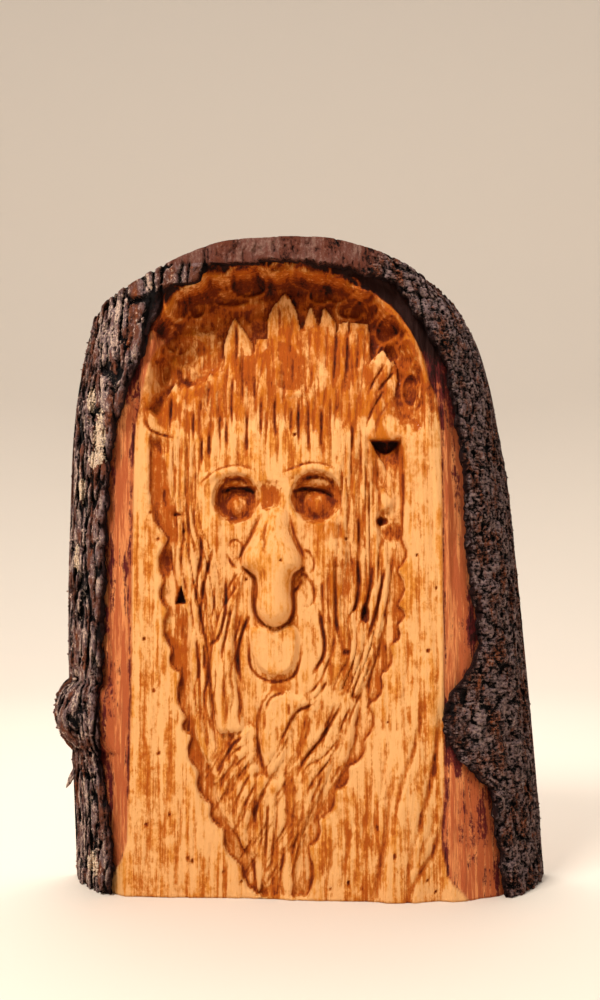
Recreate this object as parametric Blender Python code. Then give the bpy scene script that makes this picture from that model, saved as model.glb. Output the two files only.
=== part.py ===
"""Tree face carving: a split log, bark on, with a bearded face cut into its front.

The log is one piece of wood. Its back and its base are sawn flat, its top is sawn to an arch,
and the bark stays on as a rim round a flat cut panel and a scooped niche.

The carving is laid out on a drawing in millimetres: x to the right, z up from the base and
h out from the sawn back. It is stretched to WIDTH, HEIGHT and DEPTH at the end.
"""
import bmesh
import bpy
import numpy as np

# Overall size in metres
WIDTH = 0.386
HEIGHT = 0.484
DEPTH = 0.097

# Log, in millimetres on the drawing
CROWN = 97.0
EDGE_THICKNESS = 4.0
BARK_STEP = 11.0
BARK_LUMPS = 2.0
BARK_LUMP_SIZE = (16, 34)
BARK_EDGE_WIDTH = 3.0
SECTION_POWERS = (5.5, 1.2)
STUB_REACH = 10.5
STUB_RISE = 15.0
STUB_AT = (-187.0, 128.0)
STUB_HALF_HEIGHT = 25.0
STUB_HALF_WIDTH = 17.0
STUB_BLUNTNESS = 0.6

# Flat cut panel and scooped niche
PANEL_LEFT = 68.0
PANEL_RIGHT = 79.5
PANEL_EDGES = (-124.0, 102.0)
PANEL_CLIMB = 0.004
PANEL_WAVE = 0.5
PANEL_WAVE_SIZE = (9, 90)
FACETS_BELOW = 170.0
FACET_RIDGE = {"at": 68.0, "lean": 0.05, "half": 13.0, "rise": 8.0}
FACET_HOLLOW = {"at": 98.0, "lean": 0.0, "half": 10.0, "rise": -4.0}
FACET_SHELF_RISE = 4.0
FACET_SHELF_FROM = -26.0
FACET_SHELF_RUN = 16.0
NICHE_DEPTH = 23.0
NICHE_TOP = 462.0
NICHE_START = 330.0
NICHE_CENTRE = -11.0
NICHE_HALF_WIDTH = 113.0
NICHE_WALL = 20.0
NICHE_WALL_TOP = 9.0
NICHE_POWERS = (3.4, 2.05)
NICHE_FLOOR_POWER = 0.75
NICHE_FADE = 25.0
NICHE_OVER_RIM = 8.0
NICHE_RIM_SLOPE = 6.0
GOUGE_WIDTH = 21.0
GOUGE_HEIGHT = 17.0
GOUGE_DEPTH = 1.8

# Carving heights
GROUND_DEPTH = 5.5
GROUND_TOP_AT = 345.0
GROUND_FADE = 12.0
GROUND_EDGE_WIDTH = 2.0
HEAD_EDGE_WIDTH = 5.0
SCALLOP_BULGE = 5.5
SCALLOP_STEPS = (0.0, 0.15, 0.4, 0.65, 0.9)
STRANDS_A_SIDE = 5
STRAND_DEPTH = 2.8
STRAND_WAVE = 0.05
STRAND_LUMPS = 1.2
BEARD_DROP = 4.5
CUT_WIDTH = 3.2
CUT_DEPTH = 3.2
DEEP_CUT_WIDTH = 4.2
DEEP_CUT = 4.0
FOREHEAD_DROP = 1.5
NOSE_HEIGHT = 15.0
SOCKET_DEPTH = 13.0
EYEBALL_RISE = 8.0
LIP_RISE = 4.0
CHIN_RISE = 3.0
BROW_RISE = 2.6
BROW_WIDTH = 7.0
BRIDGE_DIP = 4.0
CHEEK_RISE = 1.8
NOSE_ROOT = -4.0
NOSE_ROUNDING = 13.0
LOCK_RISE = 3.0
LOCK_DROP = 3.4
LOCK_FULLNESS = 1.15
HAIR_DROP = 2.0
HAIR_SLOPE = 0.13
HAIR_FROM = 340.0
FRINGE_CUTS = 15
FRINGE_START = -92.0
FRINGE_PITCH = 10.4
FRINGE_DEPTH = 2.6

# Mesh
COLUMNS = 150
ROWS = 190
FACES_KEPT = 0.168
FLAT_SNAP = 0.0006
ARCH_ROUNDS = 12
LATTICE = 64
LATTICE_START = 1000.0
ANYWHERE = 1e6

# Outlines as (z, x) for the two sides and (x, z) for the sawn arch
LEFT_EDGE = ((0, -179.5), (80, -183.5), (160, -188), (215, -189), (295, -188), (343, -186.5),
             (391, -181.5), (438, -171.5), (500, -158))
RIGHT_EDGE = ((0, 188), (96, 181.5), (181, 174.5), (258, 167.6), (316, 161.6), (345, 156.5),
              (392, 147.7), (424, 137.6), (452, 121.7), (500, 90))
ARCH = ((-175, 437), (-150, 446), (-115, 459), (-66, 479), (-22, 484), (18, 483), (45, 477.5),
        (74, 468.5), (95, 459), (122, 452))

# Inner edge of the bark, from the left of the base over the top to the right of the base
BARK_EDGE = ((-139, -20), (-142, 31), (-152, 98), (-149, 217), (-147, 291), (-139, 350), (-129, 378),
             (-120, 400), (-114, 420), (-101, 447), (-80, 452), (-70, 465), (-57, 464), (0, 466),
             (38, 458), (70, 446), (90, 416), (103, 395), (108, 372), (115, 330), (118, 250),
             (119, 165), (106, 148), (106, 108), (126, 88), (140, 40), (150, -20))

# Scalloped border of the sunk ground: the cusps between the gouge cuts, from the base upwards
LEFT_CUSPS = ((-31, 2), (-48, 25), (-60, 50), (-70, 68), (-79, 92), (-84, 118), (-88, 131),
              (-92, 163), (-99, 181), (-102, 211), (-105, 232), (-103, 262))
RIGHT_CUSPS = ((0, 2), (2, 38), (10, 58), (22, 79), (32, 96), (44, 116), (47, 141), (56, 163),
               (62, 184), (68, 199), (68, 214), (68, 240), (72, 262))
GROUND_TOP = ((74, 300), (72, 338), (70, 372), (-112, 372), (-117, 338), (-117, 300), (-113, 276))

# Mass of face, hair and beard standing in that ground
HEAD = ((-25, -6), (-40, 30), (-62, 60), (-70, 90), (-80, 112), (-85, 140), (-87, 190), (-92, 215),
        (-98, 240), (-97, 280), (-104, 310), (-105, 385), (50, 385), (50, 322), (60, 298), (64, 286),
        (54, 276), (61, 252), (63, 225), (56, 190), (48, 160), (32, 138), (22, 100), (8, 66),
        (-4, 34), (-12, -6))

# Hair locks that stand up in the niche: tip, foot and half the width at the foot
HAIR_LOCKS = (((-98, 381), (-102, 340), 11), ((-85, 377), (-87, 340), 6), ((-72, 387), (-77, 340), 7),
              ((-63, 388), (-66, 340), 6), ((-52, 431), (-53, 345), 11), ((-38, 417), (-41, 345), 6),
              ((-31, 415), (-33, 350), 6), ((-15, 453), (-19, 362), 14), ((5, 441), (1, 362), 8),
              ((15, 439), (12, 355), 8), ((27, 427), (23, 350), 7), ((36, 428), (33, 350), 7),
              ((44, 427), (41, 350), 7), ((59, 405), (44, 345), 7), ((70, 388), (53, 340), 8),
              ((69, 355), (62, 338), 6))

# Body of the hair that the locks rise from
CROWN_MASS = ((-113, 330), (-112, 362), (-99, 376), (-80, 382), (-66, 392), (-54, 412), (-44, 404),
              (-32, 410), (-18, 432), (-4, 424), (8, 428), (22, 418), (46, 424), (49, 398), (62, 390),
              (68, 366), (70, 336), (40, 326), (-80, 326))

# Hair beside the face: outer and inner side of each bundle as (z, x)
LEFT_HAIR = (((90, -72), (140, -85), (190, -87), (240, -97), (345, -105)),
             ((90, -48), (150, -49), (200, -58), (250, -68), (268, -76), (345, -76)))
RIGHT_HAIR = (((90, 20), (138, 36), (190, 56), (240, 64), (345, 60)),
              ((90, 8), (150, 18), (180, 28), (205, 22), (250, 22), (345, 30)))

# Fans of beard locks: the first lock from tip to foot, the shift of its points from one lock to the
# next, how many locks, half their width, and how far tip and foot stand from the plane of the face
BEARD_FANS = (
    (((-46, 238), (-55, 205), (-57, 165), (-50, 124)), ((-3, -9), (-3, 0), (-4, 0), (-5, 0)),
     3, 5.5, -1.5, 1.0),
    (((0, 236), (9, 200), (14, 165), (6, 138)), ((5, -6), (5, 0), (5, 0), (7, 2)), 3, 5.5, -1.0, 1.5),
    (((-67, 82), (-53, 105), (-40, 120)), ((4.5, -9.5), (1.5, -9.5), (0, -9)), 6, 7.0, -3.0, 0.6),
    (((-15, 90), (8, 118), (17, 152)), ((2.5, -12), (4.5, -4), (4, -3)), 5, 7.0, -1.0, 1.6),
    (((-34, 4), (-32, 50), (-31, 84)), ((6, 0), (7.5, 0), (8, -1)), 4, 6.5, -2.0, 1.2))

NOSE = ((-31, 285), (-37, 272), (-42, 260), (-47, 250), (-46, 241), (-38, 234), (-36, 225), (-37, 212),
        (-33, 201), (-24, 196), (-15, 199), (-9, 208), (-10, 222), (-9, 234), (-3, 240), (-3, 249),
        (-8, 260), (-12, 272), (-14, 285))
LIP = ((-39, 199), (-42, 182), (-36, 166), (-23, 159), (-9, 165), (-4, 182), (-8, 199))
CHIN = ((-33, 148), (-36, 120), (-34, 100), (-24, 84), (-14, 100), (-8, 128), (4, 142), (-14, 152))

UNDER_NOSE = ((-46, 240), (-38, 232), (-38, 208), (-24, 194), (-9, 206), (-9, 232), (-2, 239))
UNDER_LIP = ((-42, 190), (-40, 168), (-23, 157), (-6, 164), (-3, 190))
GOATEE_CUTS = (((-22, 154), (-33, 140), (-36, 112), (-25, 86)), ((10, 145), (-6, 136), (-14, 118), (-20, 104)))
CHIN_SPLIT = ((-29, 80), (-35, 66), (-36, 50))
CHIN_SPLIT_SIZE = (4.5, 7.0)

# Deep cuts between the main locks of hair, moustache and beard
DEEP_CUTS = (((-78, 268), (-80, 238), (-82, 208)), ((-66, 252), (-74, 235), (-79, 200)),
             ((-60, 232), (-60, 205), (-64, 190), (-76, 181)), ((-57, 205), (-61, 175)),
             ((-41, 208), (-49, 188), (-50, 160), (-44, 150)), ((22, 250), (23, 205), (30, 178)),
             ((40, 250), (38, 215), (31, 196)), ((10, 212), (14, 180), (4, 160)),
             ((28, 143), (10, 112), (-8, 86)), ((-44, 118), (-58, 103), (-66, 88)),
             ((60, 245), (52, 208), (44, 180)), ((50, 225), (44, 206), (38, 192)))

# Combed cuts below the left corner of the mouth: the first one, and the shift of its points to the next
COMBED_CUTS = (((-41, 112), (-51, 102), (-62, 86)), ((0, -8), (0, -9), (3, -9)), 6)

# Round forms as centre x, centre z, half width, half height
EYES = ((-52.0, 292.0, 15.0, 17.0), (8.0, 293.0, 17.0, 18.0))
SOCKET_MARGIN = (3.0, 2.0)
SOCKET_POWER = 0.75
EYEBALL_AT = (1.0, -4.0)
EYEBALL_SHARE = (0.72, 0.66)
LID_UP = 11.0
LID_SHARE = 0.8
LID_HALF_HEIGHT = 5.0
LID_RISE = 4.0
BRIDGE = (-28, 294, 13, 13)
CHEEKS = ((-66, 262, 14, 22), (18, 258, 18, 24))

# Holes and swellings beside the hair, each with its depth
HOLES = (((-93, 221, 5, 8), 8.0), ((44, 207, 5, 9), 6.0), ((58, 275, 6, 5), 5.0), ((60, 292, 8, 10), -3.0))
NOTCH = {"at": 59.0, "half": 12.0, "top": 336.0, "height": 34.0, "depth": 11.0}
BROWS = (((-80, 303), (-66, 311), (-52, 313.5), (-36, 309)), ((-18, 309), (-2, 314), (10, 315), (27, 309)))


def through(values, points):
    """Smooth curve through (position, value) pairs, read at the given positions."""
    place = np.array([p for p, _ in points], float)
    level = np.array([v for _, v in points], float)
    slope = np.gradient(level, place)
    t = np.clip(np.asarray(values, float), place[0], place[-1])
    i = np.clip(np.searchsorted(place, t) - 1, 0, len(place) - 2)
    width = place[i + 1] - place[i]
    s = (t - place[i]) / width
    rise = s * s * (3 - 2 * s)
    ends = (s**3 - 2 * s**2 + s) * slope[i] + (s**3 - s**2) * slope[i + 1]
    return level[i] * (1 - rise) + level[i + 1] * rise + width * ends


def smooth(t):
    """Ramp from 0 to 1 with soft ends."""
    t = np.clip(t, 0.0, 1.0)
    return t * t * (3.0 - 2.0 * t)


def noise(x, z, cell_x, cell_z, seed):
    """Smooth seeded noise between -1 and 1, in cells of the given size."""
    lattice = np.random.default_rng(seed).uniform(-1, 1, (LATTICE, LATTICE))
    u, v = x / cell_x + LATTICE_START, z / cell_z + LATTICE_START
    i, j = np.floor(u).astype(int), np.floor(v).astype(int)
    a, b = smooth(u - i), smooth(v - j)
    i, j, after_i, after_j = i % LATTICE, j % LATTICE, (i + 1) % LATTICE, (j + 1) % LATTICE
    low = lattice[i, j] * (1 - a) + lattice[after_i, j] * a
    high = lattice[i, after_j] * (1 - a) + lattice[after_i, after_j] * a
    return low * (1 - b) + high * b


def rounded(points, closed=False, parts=5):
    """Dense polyline along a smooth curve through the points."""
    p = np.array(points, float)
    if closed:
        guide = np.vstack([p[-1], p, p[0], p[1]])
    else:
        guide = np.vstack([2 * p[0] - p[1], p, 2 * p[-1] - p[-2]])
    line = []
    for a, b, c, d in zip(guide[:-3], guide[1:-2], guide[2:-1], guide[3:]):
        for t in np.arange(parts) / parts:
            bend = (2 * a - 5 * b + 4 * c - d) * t**2 + (3 * b - a - 3 * c + d) * t**3
            line.append(0.5 * (2 * b + (c - a) * t + bend))
    if not closed:
        line.append(p[-1])
    return np.array(line)


def scallops(cusps, side):
    """Border of gouge cuts: an arc that bulges to one side between each pair of cusps."""
    line = []
    for (x0, z0), (x1, z1) in zip(cusps[:-1], cusps[1:]):
        length = np.hypot(x1 - x0, z1 - z0)
        out_x, out_z = side * (z1 - z0) / length, -side * (x1 - x0) / length
        for t in SCALLOP_STEPS:
            bulge = SCALLOP_BULGE * (1 - (2 * t - SCALLOP_STEPS[-1]) ** 2)
            line.append((x0 + (x1 - x0) * t + out_x * bulge, z0 + (z1 - z0) * t + out_z * bulge))
    line.append(cusps[-1])
    return line


def shifted(line, shift, k):
    """The k-th line of a fan: each point of the first one moved k times by its own shift."""
    return tuple((x + k * dx, z + k * dz) for (x, z), (dx, dz) in zip(line, shift))


class Board:
    """The surface under the tools: where each point is, and how far it stands from the back."""

    def __init__(self, x, z):
        self.x = x
        self.z = z
        self.h = np.zeros_like(x)

    def along(self, line, reach):
        """Points within reach of a polyline, their distance to it and share of its length."""
        low, high = line.min(0) - reach, line.max(0) + reach
        near = (self.x > low[0]) & (self.x < high[0]) & (self.z > low[1]) & (self.z < high[1])
        x, z = self.x[near], self.z[near]
        distance, share = np.full(x.shape, ANYWHERE), np.zeros(x.shape)
        lengths = np.linalg.norm(np.diff(line, axis=0), axis=1)
        before = np.concatenate([[0.0], np.cumsum(lengths)])
        for k, (a, b) in enumerate(zip(line[:-1], line[1:])):
            step = b - a
            t = np.clip(((x - a[0]) * step[0] + (z - a[1]) * step[1]) / max(step @ step, 1e-9), 0, 1)
            gap = np.hypot(x - a[0] - t * step[0], z - a[1] - t * step[1])
            closer = gap < distance
            distance[closer] = gap[closer]
            share[closer] = ((before[k] + t * lengths[k]) / before[-1])[closer]
        return near, distance, share

    def inside(self, outline):
        """Signed distance to a closed outline, positive inside it."""
        ring = np.vstack([outline, outline[:1]])
        _, distance, _ = self.along(ring, ANYWHERE)
        distance = distance.reshape(self.x.shape)
        within = np.zeros(self.x.shape, bool)
        for a, b in zip(ring[:-1], ring[1:]):
            if a[1] != b[1]:
                crosses = (a[1] > self.z) != (b[1] > self.z)
                within ^= crosses & (self.x < a[0] + (self.z - a[1]) * (b[0] - a[0]) / (b[1] - a[1]))
        return np.where(within, distance, -distance)

    def cut(self, points, width, depth, start=0.0, end=0.0):
        """V cut along a curve, whose depth fades to the given shares at its two ends."""
        near, distance, share = self.along(rounded(points), width)
        fade_in = start + (1 - start) * smooth(share / 0.25)
        fade_out = end + (1 - end) * smooth((1 - share) / 0.35)
        self.h[near] -= depth * np.minimum(fade_in, fade_out) * np.clip(1 - distance / width, 0, 1)

    def lock(self, points, half, at_tip, at_foot, drop):
        """Pointed strand standing up from the surface, from its tip to its foot, flat in its middle."""
        near, distance, share = self.along(rounded(points), half)
        across = distance / (half * np.sqrt(np.clip(share / 0.6, 0.002, 1)))
        top = at_tip + (at_foot - at_tip) * np.clip(share / 0.75, 0, 1) - drop * across**3
        self.h[near] = np.where(across < 1, np.maximum(self.h[near], top), self.h[near])

    def scoop(self, form, depth, power=1.0):
        """Round hollow, or a swelling where the depth is negative."""
        centre_x, centre_z, half_x, half_z = form
        away = ((self.x - centre_x) / half_x) ** 2 + ((self.z - centre_z) / half_z) ** 2
        self.h -= depth * np.clip(1 - away, 0, 1) ** power


def side_edges(z):
    """Left and right edges of the log at a height, with the branch stub on the left."""
    stub = STUB_REACH * np.clip(1 - ((z - STUB_AT[1]) / STUB_HALF_HEIGHT) ** 2, 0, 1) ** STUB_BLUNTNESS
    return through(z, LEFT_EDGE) - stub, through(z, RIGHT_EDGE)


def panel_plane(x):
    """Plane of the flat cut, from its left edge to its right edge."""
    slope = (PANEL_RIGHT - PANEL_LEFT) / (PANEL_EDGES[1] - PANEL_EDGES[0])
    return PANEL_LEFT + slope * (x - PANEL_EDGES[0])


def niche_floor(x, z):
    """Floor of the niche, which sinks from the forehead up to the arch."""
    up = np.clip((z - NICHE_START) / (NICHE_TOP - NICHE_START), 0, 1)
    return panel_plane(x) - NICHE_DEPTH * up**NICHE_FLOOR_POWER


def log_surface(board):
    """Bark side of the log, lumpy, and lower by the bark inside the bark's edge."""
    x, z = board.x, board.z
    left, right = side_edges(z)
    share = np.clip(np.abs(x - (left + right) / 2) / ((right - left) / 2), 0, 1)
    bow = (1 - share ** SECTION_POWERS[0]) ** (1 / SECTION_POWERS[1])
    board.h = EDGE_THICKNESS + (CROWN - EDGE_THICKNESS) * bow
    board.h -= BARK_LUMPS * bow * (0.6 + 0.6 * noise(x, z, *BARK_LUMP_SIZE, 3))
    board.scoop((*STUB_AT, STUB_HALF_WIDTH, STUB_HALF_HEIGHT), -STUB_RISE)
    board.h -= BARK_STEP * smooth(board.inside(rounded(BARK_EDGE, True)) / BARK_EDGE_WIDTH)


def cut_panel(board):
    """Flat panel, with the long slanting facets that a drawknife left low on the right."""
    x, z = board.x, board.z
    plane = panel_plane(x) + PANEL_CLIMB * np.clip(z - NICHE_START, 0, None) ** 2
    plane += PANEL_WAVE * noise(x, z, *PANEL_WAVE_SIZE, 5)
    low = smooth(1 - z / FACETS_BELOW)
    for facet in (FACET_RIDGE, FACET_HOLLOW):
        away = (x - facet["at"] - facet["lean"] * z) / facet["half"]
        plane += facet["rise"] * low * np.exp(-away**2)
    plane += FACET_SHELF_RISE * low * smooth((x - FACET_SHELF_FROM) / FACET_SHELF_RUN)
    board.h = np.minimum(board.h, plane)


def scoop_niche(board):
    """Bowl behind the hair, under the arch of the rim, left in rows of round gouge facets."""
    x, z = board.x, board.z
    power = np.where(x < NICHE_CENTRE, *NICHE_POWERS)
    across = np.abs(x - NICHE_CENTRE) / NICHE_HALF_WIDTH
    up = np.clip(z - NICHE_START, 0, None) / (NICHE_TOP - NICHE_START)
    reach = (across**power + up**power) ** (1 / power)
    rows = np.abs(np.sin(np.pi * (z - 0.2 * x) / GOUGE_HEIGHT))
    facets = rows * np.abs(np.sin(np.pi * (x + 0.35 * z) / GOUGE_WIDTH))
    floor = niche_floor(x, z) - GOUGE_DEPTH * smooth(up * 3) * (1 - facets)
    wall = NICHE_WALL + (NICHE_WALL_TOP - NICHE_WALL) * smooth(up * 1.6 - 0.5)
    inset = (1 - reach) * NICHE_HALF_WIDTH
    climb = np.clip(1 - inset / wall, 0, None) ** 2
    rim = board.h.max() + NICHE_OVER_RIM - floor
    wanted = floor + rim * np.minimum(climb, 1) + NICHE_RIM_SLOPE * np.clip(-inset, 0, None)
    soft = smooth((z - NICHE_START) / NICHE_FADE)
    board.h = np.where(up > 0, np.minimum(board.h, wanted * soft + board.h * (1 - soft)), board.h)


def sink_ground(board):
    """Ground round the beard, sunk behind a scalloped stop cut, with the head's mass left up."""
    left = scallops(LEFT_CUSPS, -1)
    right = scallops(RIGHT_CUSPS, 1)
    outline = np.array(right + list(GROUND_TOP) + left[::-1], float)
    below_hair = smooth((GROUND_TOP_AT - board.z) / GROUND_FADE)
    sunk = smooth(board.inside(outline) / GROUND_EDGE_WIDTH + 0.5) * below_hair
    mass = smooth(board.inside(rounded(HEAD, True)) / HEAD_EDGE_WIDTH + 0.3)
    board.h -= GROUND_DEPTH * sunk * (1 - mass)
    board.h -= FOREHEAD_DROP * mass * sunk


def comb_side(board, sides, seed):
    """Long strands down one side of the face, between two curves given as (z, x)."""
    x, z = board.x, board.z
    start, end = through(z, sides[0]), through(z, sides[1])
    share = (x - start) / (end - start)
    wave = share + STRAND_WAVE * noise(x, z, 24, 55, seed)
    ridge = np.abs(np.sin(np.pi * STRANDS_A_SIDE * wave)) ** 0.6
    hair = smooth(share * 8) * smooth((1 - share) * 5 + 0.4)
    hair *= smooth((GROUND_TOP_AT + 3 - z) / GROUND_FADE) * smooth((z - 96) / 25)
    board.h += (STRAND_LUMPS * noise(x, z, 11, 48, seed + 1) - STRAND_DEPTH * (1 - ridge)) * hair


def comb_strands(board):
    """Hair beside the face, and the overlapping locks of moustache and beard below it."""
    comb_side(board, LEFT_HAIR, 7)
    comb_side(board, RIGHT_HAIR, 17)
    base = float(panel_plane(NOSE[0][0]))
    for line, shift, count, half, at_tip, at_foot in BEARD_FANS:
        for k in range(count):
            board.lock(shifted(line, shift, k), half, base + at_tip, base + at_foot, BEARD_DROP)


def stand_hair(board):
    """Locks that rise from the forehead into the niche, and the fringe cuts below them."""
    x, z = board.x, board.z
    level = panel_plane(x) - HAIR_DROP - HAIR_SLOPE * np.clip(z - HAIR_FROM, 0, None)
    crown = board.inside(rounded(CROWN_MASS, True))
    body = smooth(crown / 8.0 + 0.3) * smooth((z - 326) / 18)
    board.h = np.where(body > 0, np.maximum(board.h, board.h * (1 - body) + level * body), board.h)
    for tip, foot, half in HAIR_LOCKS:
        bowed = ((tip[0] + foot[0]) / 2 + 1.5, (tip[1] + foot[1]) / 2)
        at_tip = float(niche_floor(*tip)) + LOCK_RISE
        at_foot = float(panel_plane(foot[0])) - 0.5
        board.lock((tip, bowed, foot), half * LOCK_FULLNESS, at_tip, at_foot, LOCK_DROP)
    for k in range(FRINGE_CUTS):
        at = FRINGE_START + FRINGE_PITCH * k
        top, low = 380 + 12 * (k % 3), 331 - 4 * (k % 2)
        board.cut(((at - 1, top), (at + 1, (top + low) / 2), (at, low)), CUT_WIDTH, FRINGE_DEPTH)


def carve_eye(board, eye):
    """One socket with its eyeball and its heavy upper lid."""
    centre_x, centre_z, half_x, half_z = eye
    socket = (centre_x, centre_z, half_x + SOCKET_MARGIN[0], half_z + SOCKET_MARGIN[1])
    board.scoop(socket, SOCKET_DEPTH, SOCKET_POWER)
    ball = (centre_x + EYEBALL_AT[0], centre_z + EYEBALL_AT[1],
            half_x * EYEBALL_SHARE[0], half_z * EYEBALL_SHARE[1])
    board.scoop(ball, -EYEBALL_RISE)
    board.scoop((centre_x, centre_z + LID_UP, half_x * LID_SHARE, LID_HALF_HEIGHT), -LID_RISE)


def carve_face(board):
    """Brows, sockets, eyeballs, nose, cheeks, lip and chin."""
    plane = panel_plane(board.x)
    for line in BROWS:
        near, distance, share = board.along(rounded(line), BROW_WIDTH)
        fade = smooth(share * 5) * smooth((1 - share) * 5)
        board.h[near] += BROW_RISE * smooth(1 - distance / BROW_WIDTH) * fade
    board.scoop(BRIDGE, BRIDGE_DIP)
    for cheek in CHEEKS:
        board.scoop(cheek, -CHEEK_RISE)
    for eye in EYES:
        carve_eye(board, eye)
    nose = board.inside(rounded(NOSE, True))
    bridge = smooth((NOSE[0][1] - board.z) / 40)
    dome = np.sqrt(np.clip(nose / NOSE_ROUNDING, 0, 1)) * (0.45 + 0.55 * bridge)
    board.h = np.where(nose > 0, np.maximum(board.h, plane + NOSE_ROOT + NOSE_HEIGHT * dome), board.h)
    board.cut(UNDER_NOSE, DEEP_CUT_WIDTH, DEEP_CUT, 1.0, 1.0)
    lip = board.inside(rounded(LIP, True))
    board.h += np.where(nose > 0, 0, LIP_RISE * smooth(lip / 5.0))
    board.cut(UNDER_LIP, CUT_WIDTH, CUT_DEPTH, 0.4, 0.4)
    chin = board.inside(rounded(CHIN, True))
    board.h += CHIN_RISE * smooth(chin / 6.0)
    for line in GOATEE_CUTS:
        board.cut(line, CUT_WIDTH, CUT_DEPTH)


def deepen_cuts(board):
    """Deep cuts between the main locks of hair, moustache and beard, and the holes beside them."""
    for line in DEEP_CUTS:
        board.cut(line, DEEP_CUT_WIDTH, DEEP_CUT)
    line, shift, count = COMBED_CUTS
    for k in range(count):
        board.cut(shifted(line, shift, k), CUT_WIDTH, CUT_DEPTH)
    board.cut(CHIN_SPLIT, *CHIN_SPLIT_SIZE)
    for form, depth in HOLES:
        board.scoop(form, depth)
    beside = smooth((NOTCH["half"] - np.abs(board.x - NOTCH["at"])) / 2.0)
    below = np.clip((NOTCH["top"] - board.z) / NOTCH["height"], 0, 1)
    board.h -= NOTCH["depth"] * beside * (board.z < NOTCH["top"]) * (1 - below) ** 1.4


def carved_board():
    """The whole relief on a grid that follows the log's outline from base to sawn arch."""
    across = np.linspace(0, 1, COLUMNS)
    top = np.full(COLUMNS, NICHE_TOP)
    for _ in range(ARCH_ROUNDS):
        left, right = side_edges(top)
        top = through(left + across * (right - left), ARCH)
    z = np.linspace(0, 1, ROWS)[:, None] * top[None, :]
    left, right = side_edges(z)
    board = Board(left + across[None, :] * (right - left), z)
    log_surface(board)
    cut_panel(board)
    scoop_niche(board)
    sink_ground(board)
    comb_strands(board)
    stand_hair(board)
    carve_face(board)
    deepen_cuts(board)
    board.h = np.clip(board.h, EDGE_THICKNESS * 0.5, CROWN)
    return board


def log_mesh(board):
    """Closed mesh: the carved front, the sawn rim back to the flat back, and the flat base."""
    scale_x = WIDTH / (board.x.max() - board.x.min())
    scale_y = DEPTH / board.h.max()
    scale_z = HEIGHT / board.z.max()
    middle = (board.x.min() + board.x.max()) / 2
    half_depth = board.h.max() / 2
    rows, columns = board.x.shape
    mesh = bmesh.new()
    front = np.empty((rows, columns), object)
    for i in range(rows):
        for j in range(columns):
            place = ((board.x[i, j] - middle) * scale_x, (half_depth - board.h[i, j]) * scale_y,
                     board.z[i, j] * scale_z)
            front[i, j] = mesh.verts.new(place)
    for i in range(rows - 1):
        for j in range(columns - 1):
            mesh.faces.new((front[i, j], front[i, j + 1], front[i + 1, j + 1], front[i + 1, j]))
    rim = [front[0, j] for j in range(columns)]
    rim += [front[i, columns - 1] for i in range(1, rows)]
    rim += [front[rows - 1, j] for j in range(columns - 2, -1, -1)]
    rim += [front[i, 0] for i in range(rows - 2, 0, -1)]
    back = [mesh.verts.new((v.co.x, half_depth * scale_y, v.co.z)) for v in rim]
    for k, (near, far) in enumerate(zip(rim, back)):
        after = (k + 1) % len(rim)
        mesh.faces.new((near, far, back[after], rim[after]))
    mesh.faces.new(back)
    bmesh.ops.recalc_face_normals(mesh, faces=mesh.faces[:])
    bmesh.ops.triangulate(mesh, faces=mesh.faces[:])
    data = bpy.data.meshes.new("carved_log")
    mesh.to_mesh(data)
    mesh.free()
    return data


def thinned(log):
    """Replace the dense mesh by one with few faces, and set its flats truly flat again."""
    modifier = log.modifiers.new("fewer_faces", "DECIMATE")
    modifier.ratio = FACES_KEPT
    graph = bpy.context.evaluated_depsgraph_get()
    fewer = bpy.data.meshes.new_from_object(log.evaluated_get(graph))
    log.modifiers.clear()
    log.data = fewer
    back = max(v.co.y for v in fewer.vertices)
    for vertex in fewer.vertices:
        if vertex.co.z < FLAT_SNAP:
            vertex.co.z = 0.0
        if back - vertex.co.y < FLAT_SNAP:
            vertex.co.y = back


def finish(log):
    """Varnished wood, flat shaded facets."""
    wood = bpy.data.materials.new("varnished_wood")
    wood.use_nodes = True
    shader = wood.node_tree.nodes["Principled BSDF"]
    shader.inputs["Base Color"].default_value = (0.62, 0.27, 0.07, 1.0)
    shader.inputs["Roughness"].default_value = 0.38
    shader.inputs["Metallic"].default_value = 0.0
    log.data.materials.append(wood)


def main():
    """Clear the scene and build the carving."""
    for thing in list(bpy.data.objects):
        bpy.data.objects.remove(thing)
    log = bpy.data.objects.new("carved_log", log_mesh(carved_board()))
    bpy.context.scene.collection.objects.link(log)
    thinned(log)
    finish(log)


main()
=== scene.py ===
"""Looks of the tree face carving: carved wood, bark, branch stub, bark scales and lichen.

The relief is worked out on a drawing in millimetres, x to the right, z up from the base and h out
from the sawn back. The Drawing class turns it into the frame's metres.
"""
from __future__ import annotations

import logging
import math
from collections.abc import Sequence
from dataclasses import dataclass, field
from enum import Enum
from typing import Any

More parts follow.
